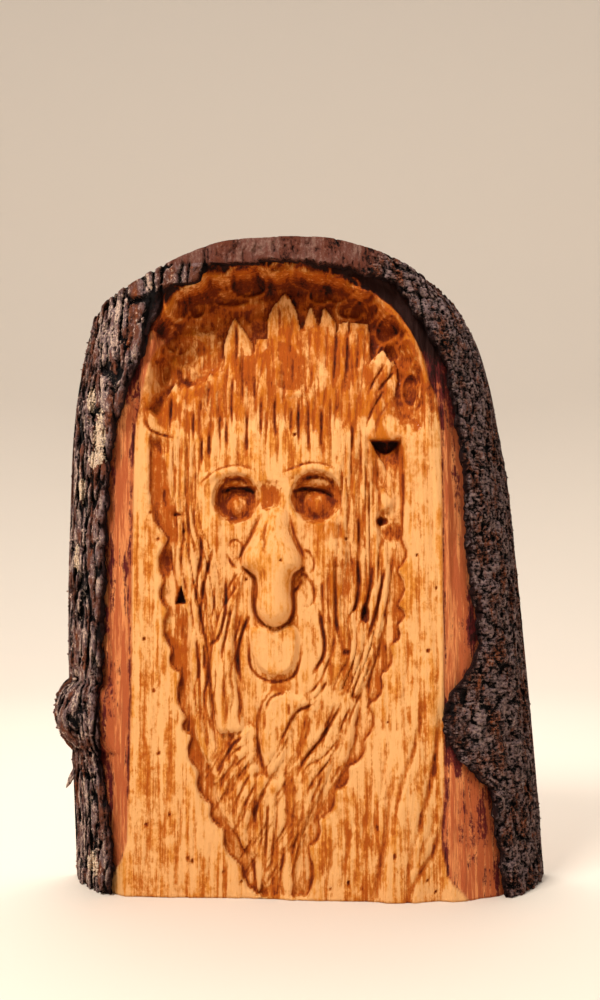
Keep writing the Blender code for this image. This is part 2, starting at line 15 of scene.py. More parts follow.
import bmesh
import bpy
import numpy as np
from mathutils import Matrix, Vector


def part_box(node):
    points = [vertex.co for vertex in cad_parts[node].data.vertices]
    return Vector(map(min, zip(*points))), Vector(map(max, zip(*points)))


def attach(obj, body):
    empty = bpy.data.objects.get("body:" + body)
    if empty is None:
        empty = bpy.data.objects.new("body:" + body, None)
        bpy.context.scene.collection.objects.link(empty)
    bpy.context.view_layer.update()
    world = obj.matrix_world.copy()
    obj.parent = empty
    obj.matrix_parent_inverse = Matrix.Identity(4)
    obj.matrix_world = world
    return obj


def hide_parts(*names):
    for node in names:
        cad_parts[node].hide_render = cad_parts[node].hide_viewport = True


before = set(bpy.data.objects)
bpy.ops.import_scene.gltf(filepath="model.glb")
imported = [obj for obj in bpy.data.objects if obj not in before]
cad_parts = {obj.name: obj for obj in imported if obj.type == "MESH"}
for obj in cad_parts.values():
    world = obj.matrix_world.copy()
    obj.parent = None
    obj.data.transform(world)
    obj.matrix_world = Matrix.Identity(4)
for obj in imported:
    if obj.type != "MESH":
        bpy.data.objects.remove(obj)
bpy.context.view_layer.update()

NODE = "carved_log"
BODY = "root"
LOG = logging.getLogger("tree_face")

LATTICE = 64
LATTICE_START = 1000.0
FAR = 1e9

Array = np.ndarray
Point = tuple[float, float]
Place = tuple[float, float, float]
Line = Sequence[Point]
Colour = tuple[float, float, float, float]


class BarkKind(Enum):
    """Which stretch of the bark rim a bark pattern belongs to."""

    LEFT = 0
    TOP = 1
    RIGHT = 2


def smooth(t: Array | float) -> Array:
    """Ramp from 0 to 1 with soft ends."""
    t = np.clip(t, 0.0, 1.0)
    return t * t * (3.0 - 2.0 * t)


def through(values: Array | float, points: Line) -> Array:
    """Smooth curve through (position, value) pairs.

    Args:
        values: Positions to read the curve at.
        points: The pairs, in order of position.

    Returns:
        The curve's value at each position, level beyond the ends.
    """
    place = np.array([p for p, _ in points], float)
    level = np.array([v for _, v in points], float)
    slope = np.gradient(level, place)
    t = np.clip(np.asarray(values, float), place[0], place[-1])
    i = np.clip(np.searchsorted(place, t) - 1, 0, len(place) - 2)
    width = place[i + 1] - place[i]
    s = (t - place[i]) / width
    rise = s * s * (3 - 2 * s)
    ends = (s**3 - 2 * s**2 + s) * slope[i] + (s**3 - s**2) * slope[i + 1]
    return level[i] * (1 - rise) + level[i + 1] * rise + width * ends


def noise(x: Array, z: Array, cell_x: float, cell_z: float, seed: int) -> Array:
    """Smooth seeded noise between -1 and 1.

    Args:
        x: Positions across, in millimetres.
        z: Positions up, in millimetres.
        cell_x: Width of a noise cell.
        cell_z: Height of a noise cell.
        seed: Seed of the lattice.

    Returns:
        The noise at each place.
    """
    lattice = np.random.default_rng(seed).uniform(-1, 1, (LATTICE, LATTICE))
    u, v = x / cell_x + LATTICE_START, z / cell_z + LATTICE_START
    i, j = np.floor(u).astype(int), np.floor(v).astype(int)
    a, b = smooth(u - i), smooth(v - j)
    left, right = i % LATTICE, (i + 1) % LATTICE
    lower, upper = j % LATTICE, (j + 1) % LATTICE
    low = lattice[left, lower] * (1 - a) + lattice[right, lower] * a
    high = lattice[left, upper] * (1 - a) + lattice[right, upper] * a
    return low * (1 - b) + high * b


def gouge_marks(x: Array, z: Array, cell_x: float, cell_z: float, seed: int) -> Array:
    """Overlapping round scoops: 0 in the middle of each, up to about 1 on the ridges between them.

    Args:
        x: Positions across, in millimetres.
        z: Positions up, in millimetres.
        cell_x: Width of one gouge mark.
        cell_z: Height of one gouge mark.
        seed: Seed of the jitter.

    Returns:
        The height of the ridges as a share.
    """
    spread, highest = 0.6, 1.2
    jitter = np.random.default_rng(seed).uniform(0.15, 0.85, (LATTICE, LATTICE, 2))
    u, v = x / cell_x + LATTICE_START, z / cell_z + LATTICE_START
    i, j = np.floor(u).astype(int), np.floor(v).astype(int)
    least = np.full(np.shape(u), FAR)
    for di in (-1, 0, 1):
        for dj in (-1, 0, 1):
            shift = jitter[(i + di) % LATTICE, (j + dj) % LATTICE]
            away = (u - i - di - shift[..., 0]) ** 2 + (v - j - dj - shift[..., 1]) ** 2
            least = np.minimum(least, away)
    return np.clip(least / spread, 0, highest)


def rounded(points: Line, closed: bool = False, parts: int = 5) -> Array:
    """Dense polyline along a smooth curve through the points.

    Args:
        points: The points that the curve passes through.
        closed: Whether the curve comes back to its start.
        parts: How many pieces each stretch is cut into.

    Returns:
        The polyline, one row for each point.
    """
    p = np.array(points, float)
    if closed:
        guide = np.vstack([p[-1], p, p[0], p[1]])
    else:
        guide = np.vstack([2 * p[0] - p[1], p, 2 * p[-1] - p[-2]])
    line = []
    for a, b, c, d in zip(guide[:-3], guide[1:-2], guide[2:-1], guide[3:]):
        for t in np.arange(parts) / parts:
            bend = (2 * a - 5 * b + 4 * c - d) * t**2 + (3 * b - a - 3 * c + d) * t**3
            line.append(0.5 * (2 * b + (c - a) * t + bend))
    if not closed:
        line.append(p[-1])
    return np.array(line)


def spaced(stops: Sequence[float], steps: Sequence[float]) -> Array:
    """Positions from the first stop to the last, with a wanted step between each pair of stops.

    Args:
        stops: Positions that are kept.
        steps: The wanted step between each pair of them.

    Returns:
        All the positions.
    """
    runs = [np.linspace(a, b, max(2, round((b - a) / step)), endpoint=False)
            for a, b, step in zip(stops[:-1], stops[1:], steps)]
    return np.concatenate(runs + [np.array([stops[-1]])])


def blurred(level: Array, reach: int) -> Array:
    """The grid averaged over a square window, twice, for a soft blur.

    Args:
        level: The grid.
        reach: Half the window's width in cells.

    Returns:
        The blurred grid.
    """
    for axis in (0, 1, 0, 1):
        width = [(0, 0), (0, 0)]
        width[axis] = (reach + 1, reach)
        total = np.cumsum(np.pad(level, width, mode="edge"), axis=axis)
        size = level.shape[axis]
        high = np.take(total, np.arange(size) + 2 * reach + 1, axis=axis)
        low = np.take(total, np.arange(size), axis=axis)
        level = (high - low) / (2 * reach + 1)
    return level


@dataclass(frozen=True)
class Drawing:
    """The millimetre drawing and how it lies in the frame."""

    width: float = 386.0
    height: float = 484.0
    depth: float = 97.0
    right: float = 188.0

    def place(self, x: Array, h: Array, z: Array) -> Array:
        """Points of the drawing in the frame's metres.

        Args:
            x: Places across the drawing.
            h: Heights out from the back.
            z: Heights above the base.

        Returns:
            The points, with x, y and z in the last axis.
        """
        low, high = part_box(NODE)
        across = high.x - (self.right - x) * (high.x - low.x) / self.width
        inward = high.y - h * (high.y - low.y) / self.depth
        up = low.z + z * (high.z - low.z) / self.height
        return np.stack(np.broadcast_arrays(across, inward, up), axis=-1)


@dataclass(frozen=True)
class Log:
    """The half log: its two sides, its sawn arch, and its round section with and without bark."""

    crown: float = 97.0
    edge_thickness: float = 4.0
    bark: float = 9.0
    bark_on_top: float = 11.0
    powers: Point = (5.5, 1.2)
    stub_at: Point = (-187.0, 128.0)
    stub_reach: float = 10.0
    stub_half_height: float = 25.0
    stub_bluntness: float = 0.6
    stub_rise: float = 14.0
    left_edge: Line = ((0, -179.5), (80, -183.5), (160, -188), (215, -189), (295, -188), (343, -186.5),
                       (391, -181.5), (438, -171.5), (500, -158))
    right_edge: Line = ((0, 188), (96, 181.5), (181, 174.5), (258, 167.6), (316, 161.6), (345, 156.5),
                        (392, 147.7), (424, 137.6), (452, 121.7), (500, 90))
    arch: Line = ((-175, 437), (-150, 446), (-115, 459), (-66, 479), (-22, 483.6), (18, 482.6), (45, 477),
                  (74, 468), (95, 458.5), (122, 451))
    left_corner: float = -171.6
    right_corner: float = 123.0

    def sides(self, z: Array) -> tuple[Array, Array]:
        """Left and right edges of the log at a height, with the branch stub on the left.

        Args:
            z: Heights above the base.

        Returns:
            The two edges at each height.
        """
        swell = np.clip(1 - ((z - self.stub_at[1]) / self.stub_half_height) ** 2, 0, 1)
        stub = self.stub_reach * swell**self.stub_bluntness
        return through(z, self.left_edge) - stub, through(z, self.right_edge)

    def top(self, x: Array) -> Array:
        """Height of the sawn arch."""
        return through(x, self.arch)

    def section(self, x: Array, z: Array, inset: float, crown: float) -> Array:
        """Height of the round section.

        Args:
            x: Places across.
            z: Heights above the base.
            inset: How far the section stands in from the log's two sides.
            crown: Height of its flat middle.

        Returns:
            The height from the back, 0 beyond the section's sides.
        """
        left, right = self.sides(z)
        share = np.clip(np.abs(x - (left + right) / 2) / ((right - left) / 2 - inset), 0, 1)
        bow = (1 - share ** self.powers[0]) ** (1 / self.powers[1])
        edge = self.edge_thickness if inset == 0 else 0.0
        return edge + (crown - edge) * bow

    def bark_top(self, x: Array, z: Array) -> Array:
        """Outer face of the bark, before its own relief."""
        swell = ((x - self.stub_at[0]) / 17) ** 2 + ((z - self.stub_at[1]) / self.stub_half_height) ** 2
        return self.section(x, z, 0.0, self.crown - 1.5) + self.stub_rise * np.clip(1 - swell, 0, 1)

    def wood_top(self, x: Array, z: Array) -> Array:
        """Face of the wood under the bark."""
        return self.section(x, z, self.bark, self.crown - self.bark_on_top)


@dataclass(frozen=True)
class Blade:
    """How a V cut is made: half its width, its depth, its darkness, and the depth left at its two ends."""

    width: float
    depth: float
    stain_and_shade: float = 0.8
    start: float = 0.0
    end: float = 0.0


@dataclass(frozen=True)
class Hollow:
    """Round hollow darkened with stain and painted shade, or a swelling where its depth is negative."""

    centre: Point
    half: Point
    depth: float
    power: float = 1.0
    stain_and_shade: float = 0.0


class Relief:
    """The wood under the tools: how far each point stands from the back, and its stain and painted shade."""

    def __init__(self, x: Array, z: Array, h: Array) -> None:
        """Start from a given surface, unstained.

        Args:
            x: Places across.
            z: Heights above the base.
            h: Heights of the surface.
        """
        self.x = x
        self.z = z
        self.h = h
        self.stain_and_shade = np.zeros_like(x)
        self.amber = np.zeros_like(x)
        self.red = np.zeros_like(x)

    def along(self, line: Array, reach: float) -> tuple[Array, Array, Array]:
        """Find the points near a polyline.

        Args:
            line: The polyline.
            reach: How far from it a point may be.

        Returns:
            A mask of the points in the line's box, their distance to it and share of its length.
        """
        low, high = line.min(0) - reach, line.max(0) + reach
        near = (self.x > low[0]) & (self.x < high[0]) & (self.z > low[1]) & (self.z < high[1])
        x, z = self.x[near], self.z[near]
        distance, share = np.full(x.shape, FAR), np.zeros(x.shape)
        lengths = np.linalg.norm(np.diff(line, axis=0), axis=1)
        before = np.concatenate([[0.0], np.cumsum(lengths)])
        for k, (a, b) in enumerate(zip(line[:-1], line[1:])):
            step = b - a
            t = np.clip(((x - a[0]) * step[0] + (z - a[1]) * step[1]) / max(step @ step, 1e-9), 0, 1)
            gap = np.hypot(x - a[0] - t * step[0], z - a[1] - t * step[1])
            closer = gap < distance
            distance[closer] = gap[closer]
            share[closer] = ((before[k] + t * lengths[k]) / before[-1])[closer]
        return near, distance, share

    def inside(self, outline: Array) -> Array:
        """Signed distance to a closed outline, positive inside it.

        Args:
            outline: The outline's points.

        Returns:
            The distance at each point of the relief.
        """
        ring = np.vstack([outline, outline[:1]])
        _, distance, _ = self.along(ring, FAR)
        distance = distance.reshape(self.x.shape)
        within = np.zeros(self.x.shape, bool)
        for a, b in zip(ring[:-1], ring[1:]):
            if a[1] != b[1]:
                crosses = (a[1] > self.z) != (b[1] > self.z)
                within ^= crosses & (self.x < a[0] + (self.z - a[1]) * (b[0] - a[0]) / (b[1] - a[1]))
        return np.where(within, distance, -distance)

    def cut(self, points: Line, blade: Blade) -> None:
        """V cut along a curve, with stain gathered in it and painted shade in its darkest cuts.

        Args:
            points: The points of the curve.
            blade: Size and darkness of the cut.
        """
        near, distance, share = self.along(rounded(points), blade.width * 1.5)
        first = blade.start + (1 - blade.start) * smooth(share / 0.2)
        last = blade.end + (1 - blade.end) * smooth((1 - share) / 0.3)
        fade = np.minimum(first, last)
        uneven = noise(self.x[near], self.z[near], 4.0, 9.0, 15)
        across = distance / (blade.width * (1 + 0.22 * uneven))
        self.h[near] -= blade.depth * fade * np.clip(1 - across, 0, 1)
        core = 0.82 * smooth((0.95 - across) / 0.8) + 0.18 * smooth(1.5 - across)
        dark = blade.stain_and_shade * (0.86 + 0.30 * uneven) * np.sqrt(fade) * core
        self.stain_and_shade[near] = np.maximum(self.stain_and_shade[near], dark)

    def ridge(self, points: Line, width: float, rise: float) -> None:
        """Soft raised line along a curve, a soft hollow where the rise is negative.

        Args:
            points: The points of the curve.
            width: Half the line's width.
            rise: How high it rises.
        """
        near, distance, share = self.along(rounded(points), width)
        fade = smooth(share * 5) * smooth((1 - share) * 5)
        self.h[near] += rise * fade * smooth(1 - distance / width)

    def lock(self, points: Line, half: float, at_tip: float, at_foot: float, drop: float) -> None:
        """Pointed strand standing up from the surface, from its tip to its foot, with stained edges.

        Args:
            points: Its middle line, tip first.
            half: Half its width at the foot.
            at_tip: Height of its middle at the tip.
            at_foot: Height of its middle at the foot.
            drop: How far its sides fall below its middle.
        """
        near, distance, share = self.along(rounded(points), half * 1.4)
        reach = half * np.sqrt(np.clip(share / 0.6, 0.002, 1))
        across = distance / reach
        top = at_tip + (at_foot - at_tip) * np.clip(share / 0.75, 0, 1) - drop * across**3
        higher = (across < 1) & (top > self.h[near])
        self.h[near] = np.where(higher, top, self.h[near])
        uneven = 0.75 + 0.5 * noise(self.x[near], self.z[near], 3.0, 7.0, 16)
        edge = 0.52 * uneven * np.exp(-((distance - reach) / 1.3) ** 2) * smooth((1 - share) * 6)
        cover = 0.8 * smooth((1.05 - across) * 5) * higher
        self.stain_and_shade[near] = np.maximum(self.stain_and_shade[near] * (1 - cover), edge)

    def shard(self, outline: Line, at_tip: float, at_foot: float, lean: float) -> None:
        """Flat splinter of wood that stands up from the surface, with a dark line of stain and painted shade
        round it.

        Args:
            outline: Its outline.
            at_tip: Height at its highest point.
            at_foot: Height at its lowest.
            lean: How much higher its right side is than its left, for each millimetre across.
        """
        shape = np.array(outline, float)
        edge = self.inside(shape)
        foot, tip = shape[:, 1].min(), shape[:, 1].max()
        up = np.clip((self.z - foot) / (tip - foot), 0, 1)
        top = at_foot + (at_tip - at_foot) * up + lean * (self.x - shape[:, 0].mean())
        top = top - 1.2 * np.exp(-np.clip(edge, 0, None) / 1.1)
        blend = smooth((self.z - foot - 4 + 5 * noise(self.x, self.z, 5, 9, 26)) / 26)
        higher = (edge > 0) & (top > self.h)
        self.h = np.where(higher, self.h + (top - self.h) * blend, self.h)
        self.amber = np.where(higher, self.amber * (1 - 0.55 * blend), self.amber)
        self.stain_and_shade = np.where(higher, self.stain_and_shade * smooth(1 - edge / 2.2) * 0.6, self.stain_and_shade)
        uneven = 0.75 + 0.55 * noise(self.x, self.z, 3.0, 6.0, 17)
        # Dark line round the splinter: stain with painted shade at its step.
        line = 0.62 * uneven * np.exp(-((edge + 0.5) / 0.85) ** 2) * smooth((self.z - foot - 12) / 20)
        self.stain_and_shade = np.maximum(self.stain_and_shade, line)

    def patch(self, outline: Line, stain_and_shade: float, sink: float) -> None:
        """Stained and sunk area with a broken edge, painted shadow where it lies under the rim, or paler
        where negative.

        Args:
            outline: Its outline.
            stain_and_shade: How dark it is.
            sink: How deep it lies.
        """
        broken = noise(self.x, self.z, 5.0, 6.0, 18) + 0.7 * noise(self.x, self.z, 2.2, 2.6, 20)
        share = smooth((self.inside(np.array(outline, float)) + 1.5 * broken + 0.8) / 2.4)
        self.h -= sink * share
        if stain_and_shade < 0:
            self.stain_and_shade *= 1 + stain_and_shade * share
        else:
            self.stain_and_shade = np.maximum(self.stain_and_shade, stain_and_shade * share * (1 + 0.22 * broken))

    def away(self, centre: Point, half: Point) -> Array:
        """Squared distance from a centre, 1 on the ellipse of the two half sizes."""
        return ((self.x - centre[0]) / half[0]) ** 2 + ((self.z - centre[1]) / half[1]) ** 2

    def scoop(self, hollow: Hollow) -> None:
        """Cut one round hollow, or raise one swelling.

        Args:
            hollow: Its place, sizes and darkness.
        """
        bowl = np.clip(1 - self.away(hollow.centre, hollow.half), 0, 1) ** hollow.power
        self.h -= hollow.depth * bowl
        self.stain_and_shade = np.maximum(self.stain_and_shade, hollow.stain_and_shade * np.sqrt(bowl))

    def tone(self, centre: Point, half: Point, amount: float) -> None:
        """Warm one round area towards amber.

        Args:
            centre: Its middle.
            half: Its half sizes.
            amount: How much warmer it gets.
        """
        ragged = 0.45 * noise(self.x, self.z, 6.0, 9.0, 24) + 0.35 * noise(self.x, self.z, 2.4, 4.0, 25)
        self.amber += amount * smooth((1.5 - self.away(centre, half) - ragged) / 1.2)


@dataclass(frozen=True)
class Panel:
    """Flat cut across the front of the log."""

    left: float = 68.0
    right: float = 79.5
    edges: Point = (-124.0, 102.0)
    climb: float = 0.004
    climb_start: float = 330.0
    outline: Line = (
        (102.7, -12), (102.5, 18), (98.7, 42), (99.5, 57), (101, 100), (101, 230), (100, 350), (92, 380),
        (88, 398), (80, 414), (68, 431), (55, 441), (38, 449), (10, 453), (-25, 455), (-55, 450),
        (-80, 438), (-101, 418), (-114, 398), (-122, 368), (-128, 335), (-129, 230), (-129, 130),
        (-131, 40), (-131, -12))
    lines: tuple = (
        ((-108, 95), (-114, 50), (-120, 6)), ((-98, 112), (-103, 60), (-107, 4)),
        ((-88, 96), (-92, 50), (-96, 3)), ((-79, 62), (-82, 34), (-86, 4)),
        ((-118, 182), (-119, 140), (-122, 95)), ((-125, 320), (-125, 240), (-126, 140)),
        ((-112, 245), (-113, 205), (-113, 165)), ((-121, 262), (-120, 225), (-121, 196)),
        ((-106, 190), (-108, 150), (-112, 112)), ((-68, 44), (-70, 24), (-74, 4)),
        ((-56, 30), (-58, 14), (-60, 2)), ((90, 150), (82, 95), (76, 50), (72, 4)),
        ((80, 112), (76, 80), (72.5, 50), (72, 20)), ((62, 122), (55, 80), (45, 30)),
        ((88, 118), (87, 100), (86, 84)), ((97, 64), (90, 48), (82, 35), (78, 18)),
        ((84, 250), (83, 215), (85, 180)), ((93, 330), (94, 280), (92, 220)),
        ((97, 240), (96, 200), (98, 150)), ((76, 190), (74, 160), (70, 136)),
        ((66, 96), (60, 60), (54, 26)), ((36, 60), (30, 36), (26, 10)), ((50, 90), (44, 60), (38, 30)),
        ((22, 44), (18, 26), (16, 8)))
    facet_edges: tuple = (((100, 142), (96.2, 113), (88.8, 76), (76, 31), (72.4, -3)),
                          ((103.6, 70), (92.5, 35), (79.5, 16), (73.4, -6)),
                          ((88, 150), (80, 112), (70, 84), (62, 50)), ((62, 96), (58, 50), (50, 4)))
    slit: Line = ((94.2, 106), (93.8, 96), (93.6, 87))
    grain_cut: Blade = Blade(2.4, 0.8, 0.17, 0.2, 0.2)
    facet_cut: Blade = Blade(3.2, 1.8, 0.32, 0.1, 0.6)
    # The slit is painted black: painted shade inside the narrow crack.
    slit_cut: Blade = Blade(1.6, 2.4, 1.2, 0.1, 0.1)
    fibre_count: int = 260
    fibre_range: tuple = ((-128, 3, 2.0, 0), (101, 335, 9.0, 1))

    def plane(self, x: Array | float, z: Array | float = 0.0) -> Array:
        """Height of the flat cut, which climbs out of the log beside the niche.

        Args:
            x: Places across.
            z: Heights above the base.

        Returns:
            The height of the cut.
        """
        slope = (self.right - self.left) / (self.edges[1] - self.edges[0])
        over = np.clip(np.asarray(z, float) - self.climb_start, 0, None)
        return self.left + slope * (x - self.edges[0]) + self.climb * over**2

    def cut(self, wood: Relief) -> None:
        """Cut the panel, with the long facets that a drawknife left and its rough grain.

        Args:
            wood: The relief to cut.
        """
        x, z = wood.x, wood.z
        slant = x + 0.09 * z
        plane = self.plane(x, z) + 0.5 * noise(x, z, 9, 90, 5)
        plane += 0.45 * noise(slant, z, 3.1, 70, 6) + 0.22 * noise(slant, z, 1.6, 26, 8)
        low = smooth((170.0 - z) / 170.0)
        swell = 8.0 * np.exp(-((x - 68 - 0.05 * z) / 13.0) ** 2) - 4.0 * np.exp(-((x - 98) / 10.0) ** 2)
        plane += low * swell
        plane += 4.0 * low * smooth((x + 26) / 16)
        wood.h = np.minimum(plane, wood.h)
        figure = noise(slant, z, 5.2, 120, 12) + 0.7 * noise(slant, z, 2.3, 60, 13)
        wood.stain_and_shade += 0.20 * np.clip(figure - 0.10, 0, 1) + 0.07 * smooth((-96 - x) / 12)
        self.inner_bark(wood)
        self.score(wood)

    def inner_bark(self, wood: Relief) -> None:
        """Red inner bark between the flat cut and the bark, behind a fine dark line.

        Args:
            wood: The relief to cut.
        """
        edge = wood.inside(rounded(self.outline, True))
        inside = smooth(edge / 1.6 + 0.5)
        wood.red = 1 - inside
        fibre = noise(wood.x, wood.z, 2.4, 60, 21) + 0.8 * noise(wood.x, wood.z, 1.3, 24, 22)
        strip = noise(wood.x, wood.z, 5.0, 90, 23)
        wood.h += (0.7 * fibre + 0.8 * strip - 1.6) * (1 - inside)
        wood.stain_and_shade *= inside
        upper_right = smooth((wood.z - 250) / 90) * (wood.x > 0)
        near_bark = smooth((-edge - 9 + 5 * upper_right - 2 * strip) / 8) * (0.62 + 0.25 * strip)
        near_bark += 0.8 * smooth((wood.z - 335) / 60) + 0.14 * upper_right
        knot = smooth((1.6 - ((wood.x - 108) / 9) ** 2 - ((wood.z - 122) / 30) ** 2 + 0.8 * strip) / 1.2)
        wood.stain_and_shade += (1 - inside) * (0.22 * np.clip(fibre, 0, 1) + near_bark + 0.9 * knot)
        wood.stain_and_shade += 0.40 * np.exp(-((edge + 0.9) / 0.8) ** 2)

    def score(self, wood: Relief) -> None:
        """Long cuts along the grain, the edges of the facets and the slit, painted black as the shade inside
        it.

        Args:
            wood: The relief to cut.
        """
        for line in self.lines:
            wood.cut(line, self.grain_cut)
        for line in self.facet_edges:
            wood.cut(line, self.facet_cut)
        wood.cut(self.slit, self.slit_cut)

    def mark(self, wood: Relief) -> None:
        """Short torn fibres and specks on the flat cut, beside the head and the beard.

        Args:
            wood: The relief to mark.
        """
        draw = np.random.default_rng(19)
        for x, z, length, kind in draw.uniform(*self.fibre_range, (self.fibre_count, 4)):
            if abs(x + 20) > 10 + 0.46 * z:
                blade = Blade(1.0 + 0.4 * kind, 0.5, 0.20 + 0.40 * kind**4)
                wood.cut(((x, z), (x + 0.4, z - length / 2), (x, z - length)), blade)


@dataclass(frozen=True)
class Niche:
    """Bowl behind the hair, under the arch of the rim, left in round gouge facets."""

    depth: float = 23.0
    top: float = 462.0
    start: float = 330.0
    centre: float = -11.0
    half_width: float = 113.0
    wall: float = 20.0
    wall_top: float = 9.0
    powers: Point = (3.4, 2.05)
    scoops: tuple = (
        (-97.5, 439, 7, 10), (-83, 441, 6, 9), (-66.5, 460, 10, 11), (-44, 456, 13, 8), (-19, 465, 9, 7),
        (4, 461, 13, 7), (27, 450, 12, 7), (44, 434, 10, 8), (62, 419, 8, 9), (75, 399, 6, 11),
        (79, 373, 6, 12), (-89, 405, 13, 13), (34, 437, 10, 7), (62, 398, 8, 12), (-102, 414, 6, 9),
        (-108, 388, 6, 12), (-112, 362, 5, 10), (12, 449, 9, 6), (-56, 446, 13, 5), (66, 404, 6, 8))
    patches: tuple = (
        # Painted shade under the arch.
        (((-62, 461), (-46, 466), (-24, 463), (-24, 454), (-48, 450), (-62, 448)), 0.72, 1.5),
        (((-47, 433), (-39, 443), (-30, 440), (-30, 421), (-39, 420), (-43, 425)), 0.50, 1.0),
        (((-60, 437), (-58, 428), (-63, 415), (-70, 412), (-66, 428)), 0.46, 0.6),
        # Painted shadow under the right arch.
        (((22, 458), (40, 462), (60, 453), (75, 437), (69, 432), (56, 443), (40, 449)), 0.95, 2.0),
        (((50, 413), (60, 410), (50, 398)), 0.5, 0.5),
        (((-98, 395), (-91, 385), (-83, 379), (-84, 373), (-98, 383)), 0.62, 1.5),
        (((72, 425), (80, 411), (86, 392), (84, 376), (74, 382), (68, 404)), 0.42, 0.3),
        (((-5, 458), (18, 458), (20, 447), (6, 452), (-6, 449)), 0.6, 0.8),
        (((-80, 432), (-72, 436), (-70, 422), (-80, 420)), 0.48, 0.5),
        (((-79, 418), (-69, 418), (-67, 396), (-76, 395)), -0.7, 0.0),
        (((-102, 398), (-90, 408), (-78, 398), (-73, 389), (-82, 380), (-97, 394)), -0.5, 0.0))
    # Outline of the lit floor of the bowl; beyond it, up to the bark, the wood is painted in shadow.
    light_floor: Line = (
        (-122, 336), (-118, 374), (-111, 400), (-107, 418), (-105, 434), (-97, 449), (-84, 450),
        (-77, 456), (-70, 466), (-60, 467), (-46, 458), (-28, 466), (-16, 469), (-6, 458), (10, 453),
        (28, 447), (41, 442), (57, 438), (71, 427), (80, 411), (87, 393), (92, 376), (97, 350), (97, 336))
    # Sharp edges painted as highlights.
    highlight_ridges: tuple = (
        ((41, 441), (57, 437), (71, 426)), ((71, 426), (80, 411), (87, 393), (92, 378)),
        ((-69, 446), (-57, 449.5), (-46, 447)), ((-76, 454), (-72, 466), (-66, 470), (-60, 466)),
        ((-28, 462), (-20, 468), (-11, 464)), ((-104, 432), (-99, 428), (-93, 431)),
        ((-112, 398), (-106, 416), (-98, 426)), ((-124, 360), (-118, 388), (-112, 400)))

    def floor(self, panel: Panel, x: Array | float, z: Array | float) -> Array:
        """Floor of the niche, which sinks from the forehead up to the arch.

        Args:
            panel: The flat cut that it starts from.
            x: Places across.
            z: Heights above the base.

        Returns:
            The floor's height from the back.
        """
        up = np.clip((np.asarray(z, float) - self.start) / (self.top - self.start), 0, 1)
        return panel.plane(x) - self.depth * up**0.75

    def cut(self, wood: Relief, panel: Panel) -> None:
        """Scoop the bowl out, stained, with painted shade towards its wall and top and painted shadow under
        the bark's rim.

        Args:
            wood: The relief to cut.
            panel: The flat cut that it starts from.
        """
        x, z = wood.x, wood.z
        power = np.where(x < self.centre, *self.powers)
        across = np.abs(x - self.centre) / self.half_width
        up = np.clip(z - self.start, 0, None) / (self.top - self.start)
        reach = (across**power + up**power) ** (1 / power)
        floor = self.floor(panel, x, z)
        marks = gouge_marks(x + 0.3 * z, z - 0.2 * x, 19.0, 15.0, 31)
        fine = gouge_marks(x - 0.2 * z, z, 8.0, 10.0, 32)
        floor += smooth(up * 3) * (3.2 * marks + 0.8 * fine - 2.6)
        wall = self.wall + (self.wall_top - self.wall) * smooth(up * 1.6 - 0.5)
        gouged = 5.0 * (gouge_marks(x, z, 17.0, 19.0, 33) - 0.35) * smooth(up * 4)
        inset = (1 - reach) * self.half_width + gouged
        climb = np.clip(1 - inset / wall, 0, None) ** 2
        rim = wood.h.max() + 8.0 - floor
        wanted = floor + rim * np.minimum(climb, 1) + 6.0 * np.clip(-inset, 0, None)
        soft = smooth((z - self.start) / 25.0)
        bowl = (up > 0) & (wanted < wood.h)
        wood.h = np.where(bowl, wanted * soft + wood.h * (1 - soft), wood.h)
        inside = smooth((inset + 3.0) / 4.0) * smooth((z - 338.0) / 20.0)
        spread = noise(x, z, 7, 16, 38) + 0.7 * noise(x, z, 2.6, 9, 39)
        most = 0.95 - 0.22 * smooth((-40 - x) / 20)
        wood.amber += most * inside * smooth((z - 322 + 20 * spread) / 80)
        edge = smooth(1 - inset / (wall * 1.15)) * inside
        # Bowl's darkness: stain with blotches and grain, more to the right, and painted shade deepening
        # towards the wall and up under the rim.
        upper = smooth((z - 400) / 50)
        blotch = noise(x, z, 9, 7, 34) + 0.7 * noise(x, z, 4, 3.4, 35)
        rightward = smooth((x - 20) / 40)
        grain = noise(x, z, 3.0, 14, 36)
        bowl_stain_and_shade = 0.19 - 0.07 * smooth((-40 - x) / 20) + 0.16 * edge + 0.20 * blotch + 0.30 * upper
        bowl_stain_and_shade += 0.30 * rightward + 0.12 * grain
        wood.stain_and_shade = wood.stain_and_shade * (1 - inside) + inside * bowl_stain_and_shade
        # Strip between the bowl and the bark at the top: dark stain with painted shadow under the bark's lip.
        arch = smooth((z - 392) / 30) * (1 - inside)
        wood.red *= 1 - smooth((z - 405) / 25)
        wood.stain_and_shade += arch * (1.02 + 0.34 * blotch)
        wood.amber += arch
        for outline, stain_and_shade, sink in self.patches:
            wood.patch(outline, stain_and_shade, sink)
        # Beyond the lit floor: painted shadow of the bark's rim, near black, brown by the right wall.
        floor_edge = wood.inside(rounded(self.light_floor, True)) + 1.2 * noise(x, z, 4, 4, 37)
        beyond = smooth(0.5 - floor_edge / 2.5) * smooth((z - 350) / 40) * (wood.red < 0.5)
        shade = 1.12 + 0.30 * blotch + 0.25 * smooth((-floor_edge - 5) / 6)
        shade -= 0.40 * smooth((x - 66) / 10) * smooth((428 - z) / 16)
        wood.stain_and_shade = np.maximum(wood.stain_and_shade, beyond * shade)
        for centre_x, centre_z, half_x, half_z in self.scoops:
            self.scoop(wood, centre_x, centre_z, half_x, half_z)
        for line in self.highlight_ridges:
            self.highlight_ridge(wood, line)

